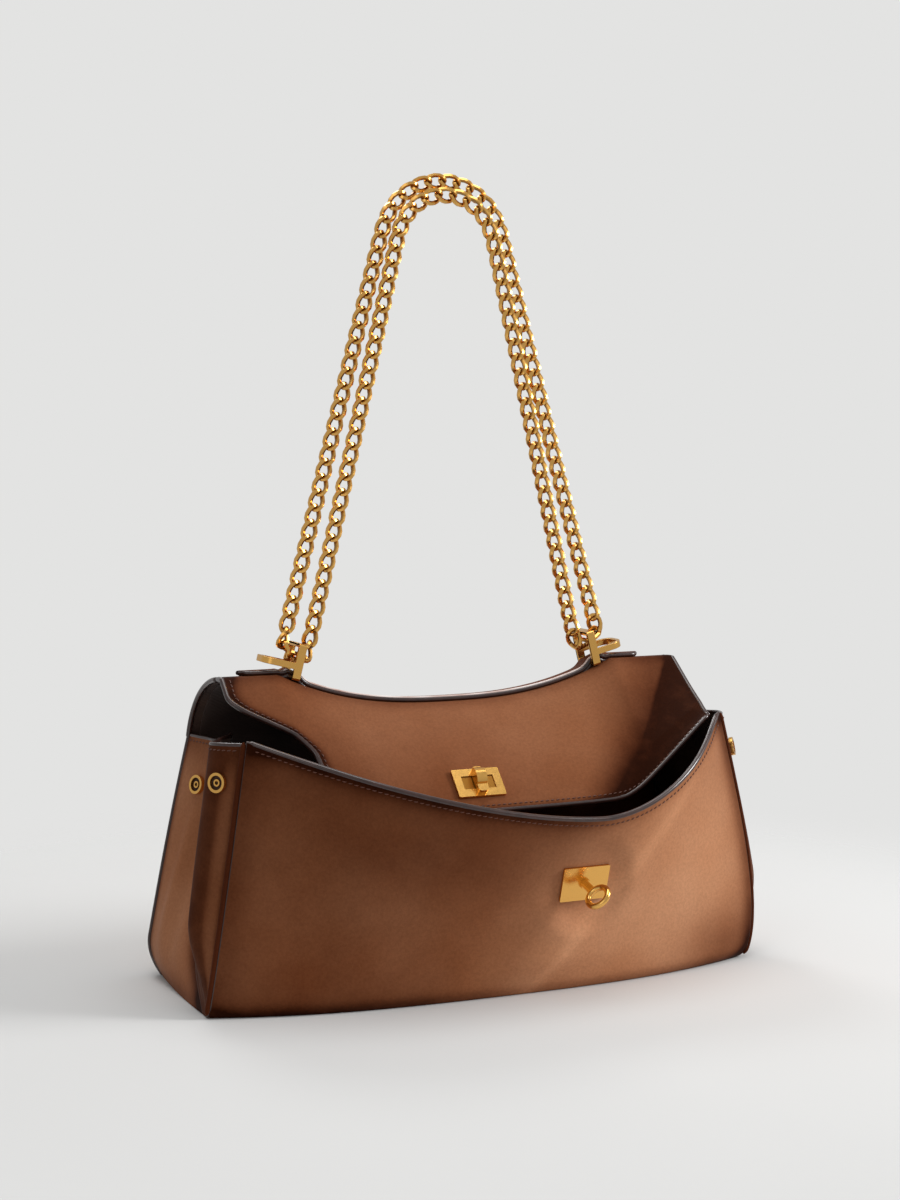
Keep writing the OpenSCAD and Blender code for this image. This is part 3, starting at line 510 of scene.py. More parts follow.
def stitches(name, runs):
    """A row of stitches on each run of (path, normals): short threads that rise from the leather in
    a low arch, thickest in the middle, each slanted a little across the row."""
    rows = zip(*(resample(path, normals, THREAD_PITCH) for path, normals in runs))
    place, along, normal = (np.concatenate(row) for row in rows)
    across = np.cross(normal, along)
    along = unit(along + THREAD_SLANT * across)
    across = np.cross(normal, along)
    s = np.linspace(-1, 1, 6)
    rise = THREAD_R * (0.55 - 1.1 * s ** 2)
    centres = (place[:, None] + along[:, None] * (s * THREAD_LONG / 2)[None, :, None]
               + normal[:, None] * rise[None, :, None])
    radius = np.tile(THREAD_R * np.sqrt(np.maximum(1 - 0.85 * s ** 2, 0.1)), (len(place), 1))
    e1 = np.repeat(across[:, None], len(s), 1)
    e2 = np.repeat(normal[:, None], len(s), 1)
    return tubes(name, centres, e1, -e2, radius, 5, [THREAD])


def painted_rim(name, surface, u, v, out, depth, radius, material=EDGE):
    """The painted edge where layers of leather end together: a round bead along a rim, its middle
    half the layers' depth under the surface, and thinner at its two ends."""
    path, normal = line_on(surface, u, v, out, -depth / 2)
    e1, e2 = path_frames(path, normal)
    size = np.full(len(path), float(radius))
    size[[0, -1]] *= TIP_SHARE
    size[[1, -2]] *= NECK_SHARE
    return tubes(name, path[None], e1[None], e2[None], size[None], BEAD_SIDES, [material])


def line_on(surface, u, v, out, lift=0.0):
    """A path on a surface, with its outward normals."""
    u, v = np.broadcast_arrays(np.asarray(u, float), np.asarray(v, float))
    normal = out * surface_normals(surface, u, v)
    return surface(u, v) + lift * normal, normal


def spread(n, *dense):
    """Shares from 0 to 1 in n even steps, and within each (from, to, count) that many more."""
    parts = [np.linspace(0, 1, n + 1)] + [np.linspace(a, b, k) for a, b, k in dense]
    return np.unique(np.round(np.concatenate(parts), 5))


# ---- surfaces of the body ----
def seam_left(v):
    """Place across the bag of the left front seam at a share of the front's height: half the width at
    the base, less a lean that grows with the power 0.9 of the share."""
    return -(BODY_W / 2 - LEAN_LEFT * v ** 0.9)


def seam_right(v):
    """Place across the bag of the right front seam: half the width, less a lean that grows with the
    power 1.3, plus half a sine wave that puffs it out low down."""
    return BODY_W / 2 - LEAN_RIGHT * v ** 1.3 + SIDE_PUFF * bump(v ** 0.55)


def seam(side, v):
    """Seam of one side: -1 is left and +1 is right."""
    return seam_left(v) if side < 0 else seam_right(v)


def rim_z(x):
    """Height of the front rim: two power curves that meet at its lowest point."""
    left = np.clip((RIM_LOW_X - x) / (RIM_LOW_X - seam_left(1.0)), 0, None) ** 1.58
    right = np.clip((x - RIM_LOW_X) / (seam_right(1.0) - RIM_LOW_X), 0, None) ** 1.77
    return RIM_LOW + (FRONT_H - RIM_LOW) * np.where(x < RIM_LOW_X, left, right)


def ridge_end(x):
    """How far a place is out towards the stiff ends of the ridge: the power 2.6 of its share of the way
    there from the middle, and at most 1."""
    return np.minimum(1, np.abs(x) / RIDGE_FLAT) ** 2.6


def ridge_z(x):
    """Height of the ridge, which sags in the middle."""
    return RIDGE_H - RIDGE_SAG * (1 - ridge_end(x))


def off_crest(x, z):
    """How far a place lies to the right of the long crest, which slants from under the right of the rim
    down past the ring plate to the base."""
    return (x - CREST_X) * CREST_RUN - z * CREST_FALL


def front_dents(x, z):
    """Soft folds of the front panel: the long crest with a dip on its left, flat under the ring plate, and
    a shallow hollow beside the left seam. They fade out towards the base and the rim."""
    across = off_crest(x, z)
    # A crest 9 mm high that falls off over 24 mm, less a dip of 2 mm at 34 mm to its left
    crest = 9.0 * np.exp(-np.sqrt(across ** 2 + 25) / 24) - 2.0 * hill(across + 34, 18)
    crest = crest * smooth((z + 30) / 60) * (1 - 0.4 * smooth((z - 40) / 50))
    # No crest within 16 mm of the plate's middle, and all of it beyond 32 mm
    off_plate = 1 - smooth((32 - np.hypot(x - PLATE_X, z - PLATE_Z)) / 16)
    hollow = -1.2 * hill(x + 112, 16) * smooth(z / 40) + 0.6 * hill(x + 84, 18)
    return (crest * off_plate + hollow) * smooth(z / 20) * smooth((FRONT_H - z) / 26)


def front_face(u, v):
    """Outer face of the front panel. Across, a straight line between the seams, and upwards a share of
    the rim's height. In depth it bows out by the power 2.8 of the distance from the seams, more so with
    the square of the height, takes on the soft folds away from the seams, and rolls under in its lowest
    7 mm."""
    side = np.abs(2 * u - 1) ** 2.8
    bow = BASE_BOW + FRONT_LEAN * v ** 2
    x = lerp(seam_left(v), seam_right(v), u)
    z = v * rim_z(lerp(seam_left(1.0), seam_right(1.0), u))
    roll = 3.2 * np.clip(1 - z / 7.0, 0, 1) ** 2
    away = smooth(u / 0.05) * smooth((1 - u) / 0.05)
    y = -FRONT_Y - bow * (1 - side) - away * front_dents(x, z) + roll
    return np.stack([x, y, z], -1)


def crease_y(v):
    """Depth of the line where the two halves of a gusset meet: it comes forward with the fourth power
    of the way down."""
    top, low = REAR_Y * 0.2, -FRONT_Y * 0.8
    return top - (top - low) * (1 - v) ** 4


def crease_x(side, v):
    """Place across the bag of that line: the seam's, drawn in along an S curve above the base."""
    return seam(side, v) - side * CREASE_IN * smooth((v - 0.1) * 2)


def rear_side(side, v):
    """Side line of the rear panel's wall: the seam, spread out at the base and not at the top, with the
    square of the height."""
    return seam(side, v) + side * REAR_SPREAD * (1 - v ** 2)


def roll_in(v):
    """How far the lower rear corners are rounded in: the square of what is left of 1.6 times the
    corner's radius."""
    return 0.6 * CORNER_ROLL * np.maximum(0, 1 - v * GUSSET_H / CORNER_ROLL / 1.6) ** 2


FRONT_EDGE_Y = -FRONT_Y + LEATHER + LINING + LAYER_GAP
REAR_EDGE_Y = REAR_Y - LEATHER - 5 * LAYER_GAP


def gusset_front(side):
    """Front half of a gusset: it flares out from the seam to a fold along a parabola and comes in again
    to the crease, with a soft pleat of a hill and a dip on the way that fades out towards the base."""
    def face(u, v):
        """Place on the sheet, u from the seam to the crease and v up it."""
        before = np.minimum(1, u / FOLD_SHARE)
        after = np.maximum(0, (u - FOLD_SHARE) / (1 - FOLD_SHARE))
        out = GUSSET_FOLD * smooth(v / 0.35) * (1 - (1 - before) ** 2)
        x = lerp(seam(side, v) + side * out, crease_x(side, v), after ** 0.85)
        pleat = 1.6 * hill(after - 0.42, 0.16) - 1.4 * hill(after - 0.72, 0.14)
        x = x + side * pleat * smooth(v / 0.4) * smooth(after / 0.2) * smooth((1 - after) / 0.12)
        y = lerp(FRONT_EDGE_Y, crease_y(v), u)
        z = v * (GUSSET_H + GUSSET_RISE * (1 - u * 0.4))
        return np.stack([x, y, z], -1)
    return face


def gusset_rear(side):
    """Rear half of a gusset: a straight line from the hidden crease to the rear panel's side, puffed out
    by half sine waves, with one soft fold, a hill beside a dip, that runs from the top of the crease down
    to the rounded rear corner and leaves the snap's place flat."""
    def face(u, v):
        """Place on the sheet, u from the crease to the rear side and v up it."""
        puff = GUSSET_PUFF * bump(u) * bump(0.12 + 0.72 * (1 - v))
        fold_at = 0.3 + 0.45 * (1 - v)
        fold = 1.3 * hill(u - fold_at, 0.12) - 1.1 * hill(u - fold_at + 0.22, 0.12)
        fold = fold * smooth(v / 0.25) * smooth(u / 0.15) * smooth((1 - u) / 0.15)
        fold = fold * (1 - hill((u - 0.47) * 4, 1) * hill((v - 0.81) * 10, 1))
        x = lerp(crease_x(side, v), rear_side(side, v), u) + side * (puff + fold - roll_in(v) * u)
        y = lerp(crease_y(v) + LAYER_GAP, REAR_EDGE_Y - roll_in(v), u)
        return np.stack([x, y, v * GUSSET_H], -1)
    return face


def rear_face(u, v):
    """Outer face of the rear panel: a wall with rounded lower corners, then from the wall's top to the
    ridge most of a quarter of an ellipse, where it ends."""
    w = np.minimum(1, v / WALL_SHARE)
    a = np.clip((v - WALL_SHARE) / (ARCH_SHARE - WALL_SHARE), 0, 1)
    x = lerp(lerp(rear_side(-1, w) + roll_in(w), RIDGE_LEFT, a),
             lerp(rear_side(1, w) - roll_in(w), RIDGE_RIGHT, a), u)
    turn = lerp(ARCH_START, np.pi / 2, a)
    arch = ARCH_Z + (ridge_z(x) - ARCH_Z) * np.sin(turn)
    wall_y = REAR_Y - roll_in(w) * np.abs(2 * u - 1) ** 8
    arch_y = ARCH_Y + (REAR_Y - ARCH_Y) * np.cos(turn) / math.cos(ARCH_START)
    low = np.stack([x, wall_y, w * arch], -1)
    return np.where((v < WALL_SHARE)[..., None], low, np.stack([x, arch_y, arch], -1))


def flap_profile(x, t):
    """Depth and height of the flap from the ridge at 0 to the tucked edge at 1: the depth runs out with
    the power 1.1 and the height falls with the power 1.15 of the share."""
    y = -RIDGE_FRONT - (FLAP_REACH - RIDGE_FRONT) * (1 - (1 - t) ** 1.1)
    return y, ridge_z(x) - (ridge_z(x) - FLAP_LOW) * t ** 1.15


def flap_left(t):
    """Left edge of the flap: straight down off the ridge, in along an S, then down to the corner."""
    share = 0.84 * smooth((t - 0.15) / 0.42) + 0.16 * np.maximum(0, 2 * t - 1)
    return lerp(RIDGE_LEFT, -FLAP_LOW_LEFT, share)


def flap_face(u, v):
    """Outer face of the flap. It starts on the rear panel's arch a little behind the ridge and follows
    the profile down to the tucked edge, with a hill and a dip in it. Past the crease its right wing folds
    up again: the fold is a hyperbola, 0 well before the crease and the distance past it well after."""
    t = np.clip((v - FLAP_BEHIND) / (1 - FLAP_BEHIND), 0, 1)
    b = np.clip((FLAP_BEHIND - v) / FLAP_BEHIND, 0, 1)
    past = (u - CREASE_U) / (1 - CREASE_U)
    wing = np.clip(past, 0, 1)
    fold = np.minimum(1, 0.5 * (past + np.sqrt(past ** 2 + WING_SOFT ** 2)))
    main = np.minimum(1, u / CREASE_U)
    x0 = lerp(flap_left(t), lerp(RIDGE_RIGHT, FLAP_LOW_RIGHT, t), main)
    x = lerp(x0, RIDGE_RIGHT - LEATHER * t, wing)
    y, z = flap_profile(x0, t)
    turn = np.pi / 2 - b * math.radians(14)
    soft = 1.3 * hill(x0 - 62, 26) * bump(t) - 1.0 * hill(x0 + 38, 36) * bump(t)
    back_y = ARCH_Y + (REAR_Y - ARCH_Y) * np.cos(turn) / math.cos(ARCH_START)
    back_z = ARCH_Z + (ridge_z(x0) - ARCH_Z) * np.sin(turn)
    y = np.where(b > 0, back_y, y + fold * WING_BACK * t ** 1.5 - soft * (1 - wing) * 0.4)
    z = np.where(b > 0, back_z, z + fold * WING_UP * t ** 1.6 + soft * (1 - wing) * 0.4)
    return np.stack([x, y, z], -1)


DIVIDER_H = lerp(FLAP_LOW, REAR_H, 0.6)
DIVIDER_MID_Y = -FLAP_REACH * 0.45


def divider_face(u, v):
    """Divider between the two pockets, from the front base seam up to behind the lock. Its middle comes
    forward with the fourth power of the way down, and its ends turn back to the creases with the square
    of the distance from the middle."""
    w = lerp(0.052, 1, v)
    share = w * DIVIDER_H / GUSSET_H
    inset = LEATHER + 6 * LAYER_GAP
    mid = DIVIDER_MID_Y - (FRONT_Y + BASE_BOW + DIVIDER_MID_Y - LEATHER * 4) * (1 - w) ** 4
    x = lerp(crease_x(-1, share) + inset, crease_x(1, share) - inset, u)
    y = lerp(mid, crease_y(share) + LEATHER, (2 * u - 1) ** 2)
    return np.stack([x, y, w * DIVIDER_H], -1)


def strap_lift(x):
    """How far the ridge strap rises over the bottom bar of each anchor: a hill with its top cut flat."""
    return (BAND_T + 4 * LAYER_GAP) * np.minimum(1, 1.8 * hill(np.abs(x) - ANCHOR_X, LOOP_W * 1.05))


def strap_face(u, v):
    """Top of the ridge strap: the arch behind the ridge, raised by the strap's thickness, its lift over
    the anchors and a low parabola across it. Its width narrows to round tips."""
    x = lerp(-STRAP_HALF, STRAP_HALF, u)
    over = np.clip(np.abs(x) - STRAP_HALF + 6, 0, None) / 6.2
    tip = np.sqrt(np.clip(1 - over ** 2, 0.04, 1))
    y = STRAP_Y + STRAP_W * (v - 0.5) * tip
    back = np.clip((y - ARCH_Y) / (REAR_Y - ARCH_Y), 0, 1) * math.cos(ARCH_START)
    seat = ARCH_Z + (ridge_z(x) - ARCH_Z) * np.sqrt(1 - back ** 2)
    crown = 0.4 * (1 - (2 * v - 1) ** 2)
    return np.stack([x, y, seat + STRAP_SEAT + STRAP_T + strap_lift(x) + crown], -1)


# ---- how dark each place is rubbed, and where shade is painted ----
# 0 is not at all and 1 is fully. Each term is a strength times a hill or an S curve, whose widths are
# shares of the sheet, or on the front panel millimetres from the crest, the rim, the base or the middle.
def front_rub_and_shade(u, v):
    """Front panel: brown left of the long crest and tan right of it, the brown partly painted shade on the
    flank turned away from the light. A painted highlight runs along the crest with painted shade just left of
    it, painted shade lies under the rim and in a band 36 mm below it on the left, and it is darker in narrow
    bands along the seams, the rim and the base, most of all at the top left."""
    place = front_face(u, v)
    x, z = place[..., 0], place[..., 2]
    across = off_crest(x, z)
    below = (1 - v) * rim_z(x)
    # Left of the crest: partly the darker dye, partly painted shade on the flank turned away from the light
    left = 0.37 * smooth((1 - across) / 48) + 0.22 * smooth((40 - across) / 150)
    # Painted shade just left of the crest, and a painted highlight along its top
    streak = 0.08 * hill(across + 14, 9) - 0.14 * hill(across - 5, 4) * smooth((130 - z) / 40)
    # Painted shade under the rim
    under = 0.05 * smooth((46 - below) / 46) * smooth((62 - x) / 70)
    corner = 0.02 * smooth((-40 - x) / 130) * smooth((z - 20) / 110)
    seams = 0.12 * hill(u, 0.03) + 0.40 * hill(1 - u, 0.022) + 0.26 * hill(1 - u, 0.06)
    rim = 0.20 * hill(below, 5) + 0.08 * hill(below - 3, 9) * smooth((80 - x) / 60)
    rim_right = 0.12 * smooth((60 - below) / 60) * smooth((x - 90) / 40)
    base = 0.26 * hill(z, 6) + 0.08 * hill(z, 20)
    low_right = 0.42 * hill(x - 140, 30) * hill(z - 14, 22)
    # A band of painted shade 36 mm below the rim, on the left
    shade_band = 0.08 * hill(below - 36, 15) * smooth((26 - x) / 50) * smooth((x + 130) / 50)
    return 0.08 + left + streak + under + corner + seams + rim + rim_right + base + low_right + shade_band


def flap_rub_and_shade(u, v):
    """Flap: painted shade over the right wing, which lies in shadow under the ridge's end, fading in towards
    it; darker by the edges, and lightly along the ridge.
    """
    # Painted shade over the right wing and towards it
    wing = 1.2 * smooth((u - CREASE_U + 0.02) / 0.05)
    near = 0.62 * smooth((u - CREASE_U + 0.17) / 0.19) * (0.5 + 0.5 * v)
    left = 0.10 * smooth((0.62 - u) / 0.4) + 0.40 * hill(u, 0.018) + 0.12 * hill(u, 0.12)
    ridge = 0.16 * hill(v - 0.06, 0.07)
    tucked = 0.25 * hill(1 - v, 0.03) + 0.10 * hill(1 - v, 0.3)
    return 0.49 + wing + near + left + ridge + tucked


def rub_gusset(u, v):
    """Rear half of a gusset and small pieces: dark along the top, the sides and the base."""
    top, base = 0.25 * hill(1 - v, 0.10), 0.3 * hill(v, 0.06)
    return 0.40 + top + base + 0.5 * hill(u, 0.12) + 0.30 * hill(1 - u, 0.06)


def fold_rub_and_shade(u, v):
    """Front half of a gusset: darker all over, with painted shade along the fold, behind it and in the groove
    at the seam, which leaves a lighter lip beside the seam; and darker along the top and the base.
    """
    # Painted shade: a dark line in the fold, and shade deepening from the lip back to the fold
    fold = 0.35 * hill(u - FOLD_SHARE, 0.04) + 0.34 * smooth((u - 0.07) / 0.12)
    top, base = 0.25 * hill(1 - v, 0.10), 0.25 * hill(v, 0.08)
    # 0.68 all over, and painted shade in the groove at the seam
    return np.minimum(0.90, 0.68 + fold + top + base + 0.3 * hill(u, 0.025))


def rub_rear(u, v):
    """Rear panel and strap: dark along the sides and the base, and a little near the ridge."""
    sides = 0.45 * hill(u, 0.035) + 0.45 * hill(1 - u, 0.035)
    return 0.12 + sides + 0.4 * hill(v, 0.04) + 0.15 * hill(v - 0.9, 0.1)


# ---- leather pieces ----
def finish_piece(piece, body, slot, *nodes):
    """Lets a piece ride on its body, and hides the solids that it stands for."""
    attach(piece, body)
    if nodes:
        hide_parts(*nodes)
    return piece


def build_front():
    """Front panel, its facing and lining, and the rim's stitches and paint."""
    us = spread(130, (0, 0.06, 14), (0.94, 1, 14))
    vs = spread(60, (0, 0.06, 10), (0.93, 1, 16))
    panel = leather_sheet("front_panel_leather", front_face, us, vs, LEATHER, 1, TAN_SHEET, front_rub_and_shade)
    finish_piece(panel, "bag", "tan_leather", "front_panel")
    inner = spread(100)[2:-2]
    facing_v = 1 - FACING_H / FRONT_H
    facing = leather_sheet("front_facing_leather", front_face, inner, np.linspace(facing_v, 1, 16),
                           FACING_T, 1, DARK_BOTH_SIDES, rub_gusset, lift=-LEATHER - 0.02)
    finish_piece(facing, "bag", "dark_leather", "front_facing")
    lining = leather_sheet("front_lining_cloth", front_face, inner, np.linspace(0.04, facing_v + 0.01, 40),
                           CLOTH_T, 1, CLOTH_SHEET, lift=-LEATHER - LAYER_GAP)
    finish_piece(lining, "bag", "lining_brown", "front_lining")
    u = np.linspace(0.012, 0.988, 300)
    rim = rim_z(lerp(seam_left(1.0), seam_right(1.0), u))
    runs = [line_on(front_face, u, 1 - STITCH_IN / rim, 1, STITCH_LIFT)]
    finish_piece(stitches("front_stitches", runs), "bag", "tan_leather")
    paint = painted_rim("front_rim_paint", front_face, np.linspace(0, 1, 220), AT_END, 1,
                        LEATHER + FACING_T, FRONT_BEAD)
    finish_piece(paint, "bag", "edge_brown")


def build_gussets():
    """Both halves of each gusset, with stitches and paint along their tops."""
    us, vs = spread(44), spread(70, (0, 0.05, 8), (0.95, 1, 10))
    for side, word in SIDES:
        halves = (("front", gusset_front(side), fold_rub_and_shade, "dark_leather"),
                  ("rear", gusset_rear(side), rub_gusset, "tan_leather"))
        for half, face, rub_and_shade, slot in halves:
            sheet = leather_sheet(f"{word}_gusset_{half}_leather", face, us, vs, GUSSET_T, side,
                                  TAN_SHEET, rub_and_shade)
            finish_piece(sheet, "bag", slot, f"{word}_gusset_{half}")
        u = np.linspace(0.04, 0.96, 60)
        runs = [line_on(face, u, 1 - STITCH_IN / GUSSET_H, side, STITCH_LIFT) for _, face, _, _ in halves]
        finish_piece(stitches(f"{word}_gusset_stitches", runs), "bag", "tan_leather")
        for half, face, _, _ in halves:
            bead = painted_rim(f"{word}_gusset_{half}_paint", face, np.linspace(0, 1, 70), AT_END, side,
                               GUSSET_T, GUSSET_BEAD)
            finish_piece(bead, "bag", "edge_brown")


def build_rear():
    """Rear panel up to the ridge, its lining, and the paint along the two ends of its arch."""
    us = spread(110, (0, 0.08, 14), (0.92, 1, 14))
    vs = np.unique(np.concatenate([np.linspace(0, 0.1, 14), np.linspace(0.1, WALL_SHARE, 30),
                                   np.linspace(WALL_SHARE, ARCH_SHARE - 0.049, 30)]))
    panel = leather_sheet("rear_panel_leather", rear_face, us, vs, LEATHER, -1, TAN_SHEET, rub_rear,
                          plain=("high",))
    finish_piece(panel, "bag", "tan_leather", "rear_panel")
    lining = leather_sheet("rear_lining_cloth", rear_face, spread(90)[2:-2], vs[6:-3], CLOTH_T, -1,
                           CLOTH_SHEET, lift=-LEATHER - LAYER_GAP)
    finish_piece(lining, "bag", "lining_brown", "rear_lining")
    v = np.linspace(WALL_SHARE, ARCH_SHARE - 0.03, 90)
    for u, word in ((AT_START, "left"), (AT_END, "right")):
        bead = painted_rim(f"{word}_arch_paint", rear_face, u, v, -1, LEATHER + LINING, ARCH_BEAD)
        finish_piece(bead, "bag", "edge_brown")


def build_flap():
    """Flap leather and lining, with stitches and paint, each baked where it stands, and the flap's solids
    hidden.
    """
    us = spread(120, (0, 0.05, 12), (0.70, 0.90, 36))
    vs = spread(80, (0.94, 1, 10))
    leather = leather_sheet("flap_leather", flap_face, us, vs, FLAP_T, -1, TAN_SHEET, flap_rub_and_shade,
                            plain=("low",))
    lining = leather_sheet("flap_lining_leather", flap_face, spread(110)[1:-1], np.linspace(0.09, 0.99, 70),
                           LINING, -1, DARK_BOTH_SIDES, flap_rub_and_shade, lift=-FLAP_T - 0.05)
    run_left = line_on(flap_face, 0.011, np.linspace(0.08, 0.97, 160), -1, STITCH_LIFT)
    run_low = line_on(flap_face, np.linspace(0.02, 0.98, 240), 0.965, -1, STITCH_LIFT)
    pieces = [(leather, "tan_leather", "flap"), (lining, "lining_brown", "flap_lining"),
              (stitches("flap_stitches", [run_left, run_low]), "tan_leather", None)]
    for word, u, v, radius in (("left", AT_START, np.linspace(0.02, 1, 160), FLAP_SIDE_BEAD),
                               ("right", AT_END, np.linspace(0.02, 1, 120), FLAP_SIDE_BEAD),
                               ("lower", np.linspace(0, 1, 200), AT_END, FLAP_LOW_BEAD)):
        bead = painted_rim(f"flap_{word}_paint", flap_face, u, v, -1, FLAP_EDGE_T, radius)
        pieces.append((bead, "edge_brown", None))
    for piece, slot, stands_for in pieces:
        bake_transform(piece)
        if stands_for:
            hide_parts(stands_for)


def strap_packing(side):
    """Top of the packing that fills the strap's rise on both sides of an anchor's bottom bar. It is the
    strap's own surface, a little narrower and almost the strap's thickness lower."""
    def face(u, v):
        """Place on the packing, u along the strap and v across it."""
        x = side * ANCHOR_X + (u - 0.5) * PACKING_W
        return strap_face(0.5 + x / STRAP_HALF / 2, 0.06 + 0.88 * v) - [0, 0, STRAP_T - 0.2]
    return face


def build_strap():
    """Ridge strap and its packing, with paint and a painted highlight line along its front edge."""
    strap = leather_sheet("ridge_strap_leather", strap_face, spread(240), spread(10), STRAP_T, 1,
                          DARK_SHEET, rub_rear)
    finish_piece(strap, "bag", "dark_leather", "ridge_strap")
    for side, word in SIDES:
        block = leather_sheet(f"{word}_strap_packing", strap_packing(side), spread(40), spread(8),
                              PACKING_T, 1, DARK_SHEET, rub_rear)
        finish_piece(block, "bag", "dark_leather")
    bead = painted_rim("strap_front_paint", strap_face, np.linspace(0.03, 0.97, 260), AT_START, 1, STRAP_T,
                       STRAP_BEAD)
    finish_piece(bead, "bag", "edge_brown")
    # A painted highlight line along the strap's front edge
    line = painted_rim("strap_front_painted_highlight", strap_face, np.linspace(0.14, 0.90, 220), 0.035, 1, 0.0,
                       HIGHLIGHT_BEAD, HIGHLIGHT_PAINT)
    finish_piece(line, "bag", "edge_brown")


def base_shape(inset, low, high, name, materials):
    """A board on the base: the outline between the walls, filled as rows from front to back, at a high
    and a low level."""
    u, v = np.meshgrid(spread(100), spread(30))
    front, rear = front_face(u, np.zeros_like(u)), rear_face(u, np.zeros_like(u))
    y = lerp(front[..., 1] + inset, rear[..., 1] - inset, v)
    half = BODY_W / 2 - inset - roll_in(0) * smooth((y - REAR_Y + CORNER_ROLL * 2) / CORNER_ROLL / 2)
    x = lerp(-half, half, u)
    points_top = np.stack([x, y, np.full(x.shape, high)], -1).reshape(-1, 3)
    points_low = points_top - [0, 0, high - low]
    nv, nu = u.shape
    flat, loop, count = grid_quads(nu, nv), border(nu, nv)[0], u.size
    walls = np.stack([loop, loop + count, np.roll(loop, -1) + count, np.roll(loop, -1)], 1)
    faces = np.concatenate([flat, flat[:, ::-1] + count, walls])
    return add_mesh(name, np.concatenate([points_top, points_low]), faces.tolist(), materials,
                    None, {"burnish_and_shade": np.full(2 * count, 0.5)})


def build_base():
    """Base panel, base board and the divider."""
    panel = base_shape(LEATHER + 2.5 * LAYER_GAP, 0.0, LEATHER, "base_panel_leather", [LEATHER_DARK])
    finish_piece(panel, "bag", "dark_leather", "base_panel")
    low = LEATHER + 0.1
    board = base_shape(2 * LEATHER + 4 * LINING, low, low + BOARD_T, "base_board_cloth", [CLOTH])
    finish_piece(board, "bag", "lining_brown", "base_board")
    divider = leather_sheet("divider_leather", divider_face, spread(80), spread(40), LEATHER, 1,
                            DARK_BOTH_SIDES, rub_gusset)
    finish_piece(divider, "bag", "dark_leather", "divider")


def build_bindings():
    """Corner seams: the front panel's turned edge stands along each seam as a soft ridge, a round bead
    that is thinner at its two ends."""
    v = np.linspace(0.012, 1, 120)
    radius = np.full(len(v), SEAM_BEAD)
    radius[[0, -1]] = 0.5
    radius[[1, -2]] = 1.2
    rubbed = np.full(len(v) * BEAD_SIDES + 2, 0.6)
    for side, word in SIDES:
        path = np.stack([seam(side, v) + side * 1.2, np.full(len(v), (FRONT_EDGE_Y - FRONT_Y) / 2 + 0.2),
                         v * FRONT_H], -1)
        e1, e2 = path_frames(path, np.array([0.0, -1.0, 0.0]))
        tube = tubes(f"{word}_seam_edge", path[None], e1[None], e2[None], radius[None], BEAD_SIDES,
                     [LEATHER_DARK], attributes={"burnish_and_shade": rubbed})
        finish_piece(tube, "bag", "edge_brown", f"{word}_seam_binding")


# ---- metal pieces ----
MERGE_M = 1e-6
METAL_SHARP, ROUND_FROM, ROUND_STEPS = math.radians(35), math.radians(40), 2
SOCKET_D = 10.6
# The ring and the hole of each snap socket where shade is painted with the dark lining cloth
FLOOR_FROM, FLOOR_TO, HOLE_TO = 0.2, 0.34, 0.09  # shares of it: the dark ring and the dark hole


def rounded_metal(node_name, body, width):
    """A copy of a metal solid with its doubles merged and its edges broken by a round of the given
    width. The body and node that the solid is tagged with, and its normals, are taken off the copy."""
    source = frame["nodes"][node_name]
    copy = source.copy()
    copy.data = source.data.copy()
    copy.name = node_name + "_plated"
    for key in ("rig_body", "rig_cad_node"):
        if key in copy:
            del copy[key]
    if "custom_normal" in copy.data.attributes:
        copy.data.attributes.remove(copy.data.attributes["custom_normal"])
    copy.parent = None
    bpy.context.scene.collection.objects.link(copy)
    shell = bmesh.new()
    shell.from_mesh(copy.data)
    bmesh.ops.remove_doubles(shell, verts=shell.verts, dist=MERGE_M)
    shell.to_mesh(copy.data)
    shell.free()
    copy.data.materials.clear()
    # The lock's base takes the shaded copy: painted shade in the slot
    copy.data.materials.append(GOLD_SHADED if node_name == "lock_base" else GOLD)
    copy.data.polygons.foreach_set("use_smooth", np.ones(len(copy.data.polygons), bool))
    copy.data.set_sharp_from_angle(angle=METAL_SHARP)
    bevel = copy.modifiers.new("round", "BEVEL")
    bevel.width = width * MM
    bevel.segments = ROUND_STEPS
    bevel.limit_method = "ANGLE"
    bevel.angle_limit = ROUND_FROM
    bevel.harden_normals = True
    return finish_piece(copy, body, "brass_gold", node_name)


def shade_snap_recesses(piece):
    """Painted shade in a snap socket's recesses: the faces between its outer ring and its spring ring, and in
    its middle, take the dark lining cloth. Each socket is a disc, so its axis is the direction in which its
    faces' middles spread the least."""
    polygons = piece.data.polygons
    middles = np.zeros(len(polygons) * 3)
    polygons.foreach_get("center", middles)
    middles = middles.reshape(-1, 3)
    kind = np.zeros(len(middles), np.int32)
    for part in (middles[:, 1] < 0, middles[:, 1] >= 0):
        spot = middles[part]
        centre = (spot.min(0) + spot.max(0)) / 2
        axis = np.linalg.svd(spot - spot.mean(0))[2][2]
        off = (spot - centre) - ((spot - centre) @ axis)[:, None] * axis
        reach = np.linalg.norm(off, axis=1) / MM / SOCKET_D
        kind[part] = ((reach > FLOOR_FROM) & (reach < FLOOR_TO)) | (reach < HOLE_TO)
    # Painted shade: the dark lining cloth on the recess faces
    piece.data.materials.append(CLOTH)
    polygons.foreach_set("material_index", kind)


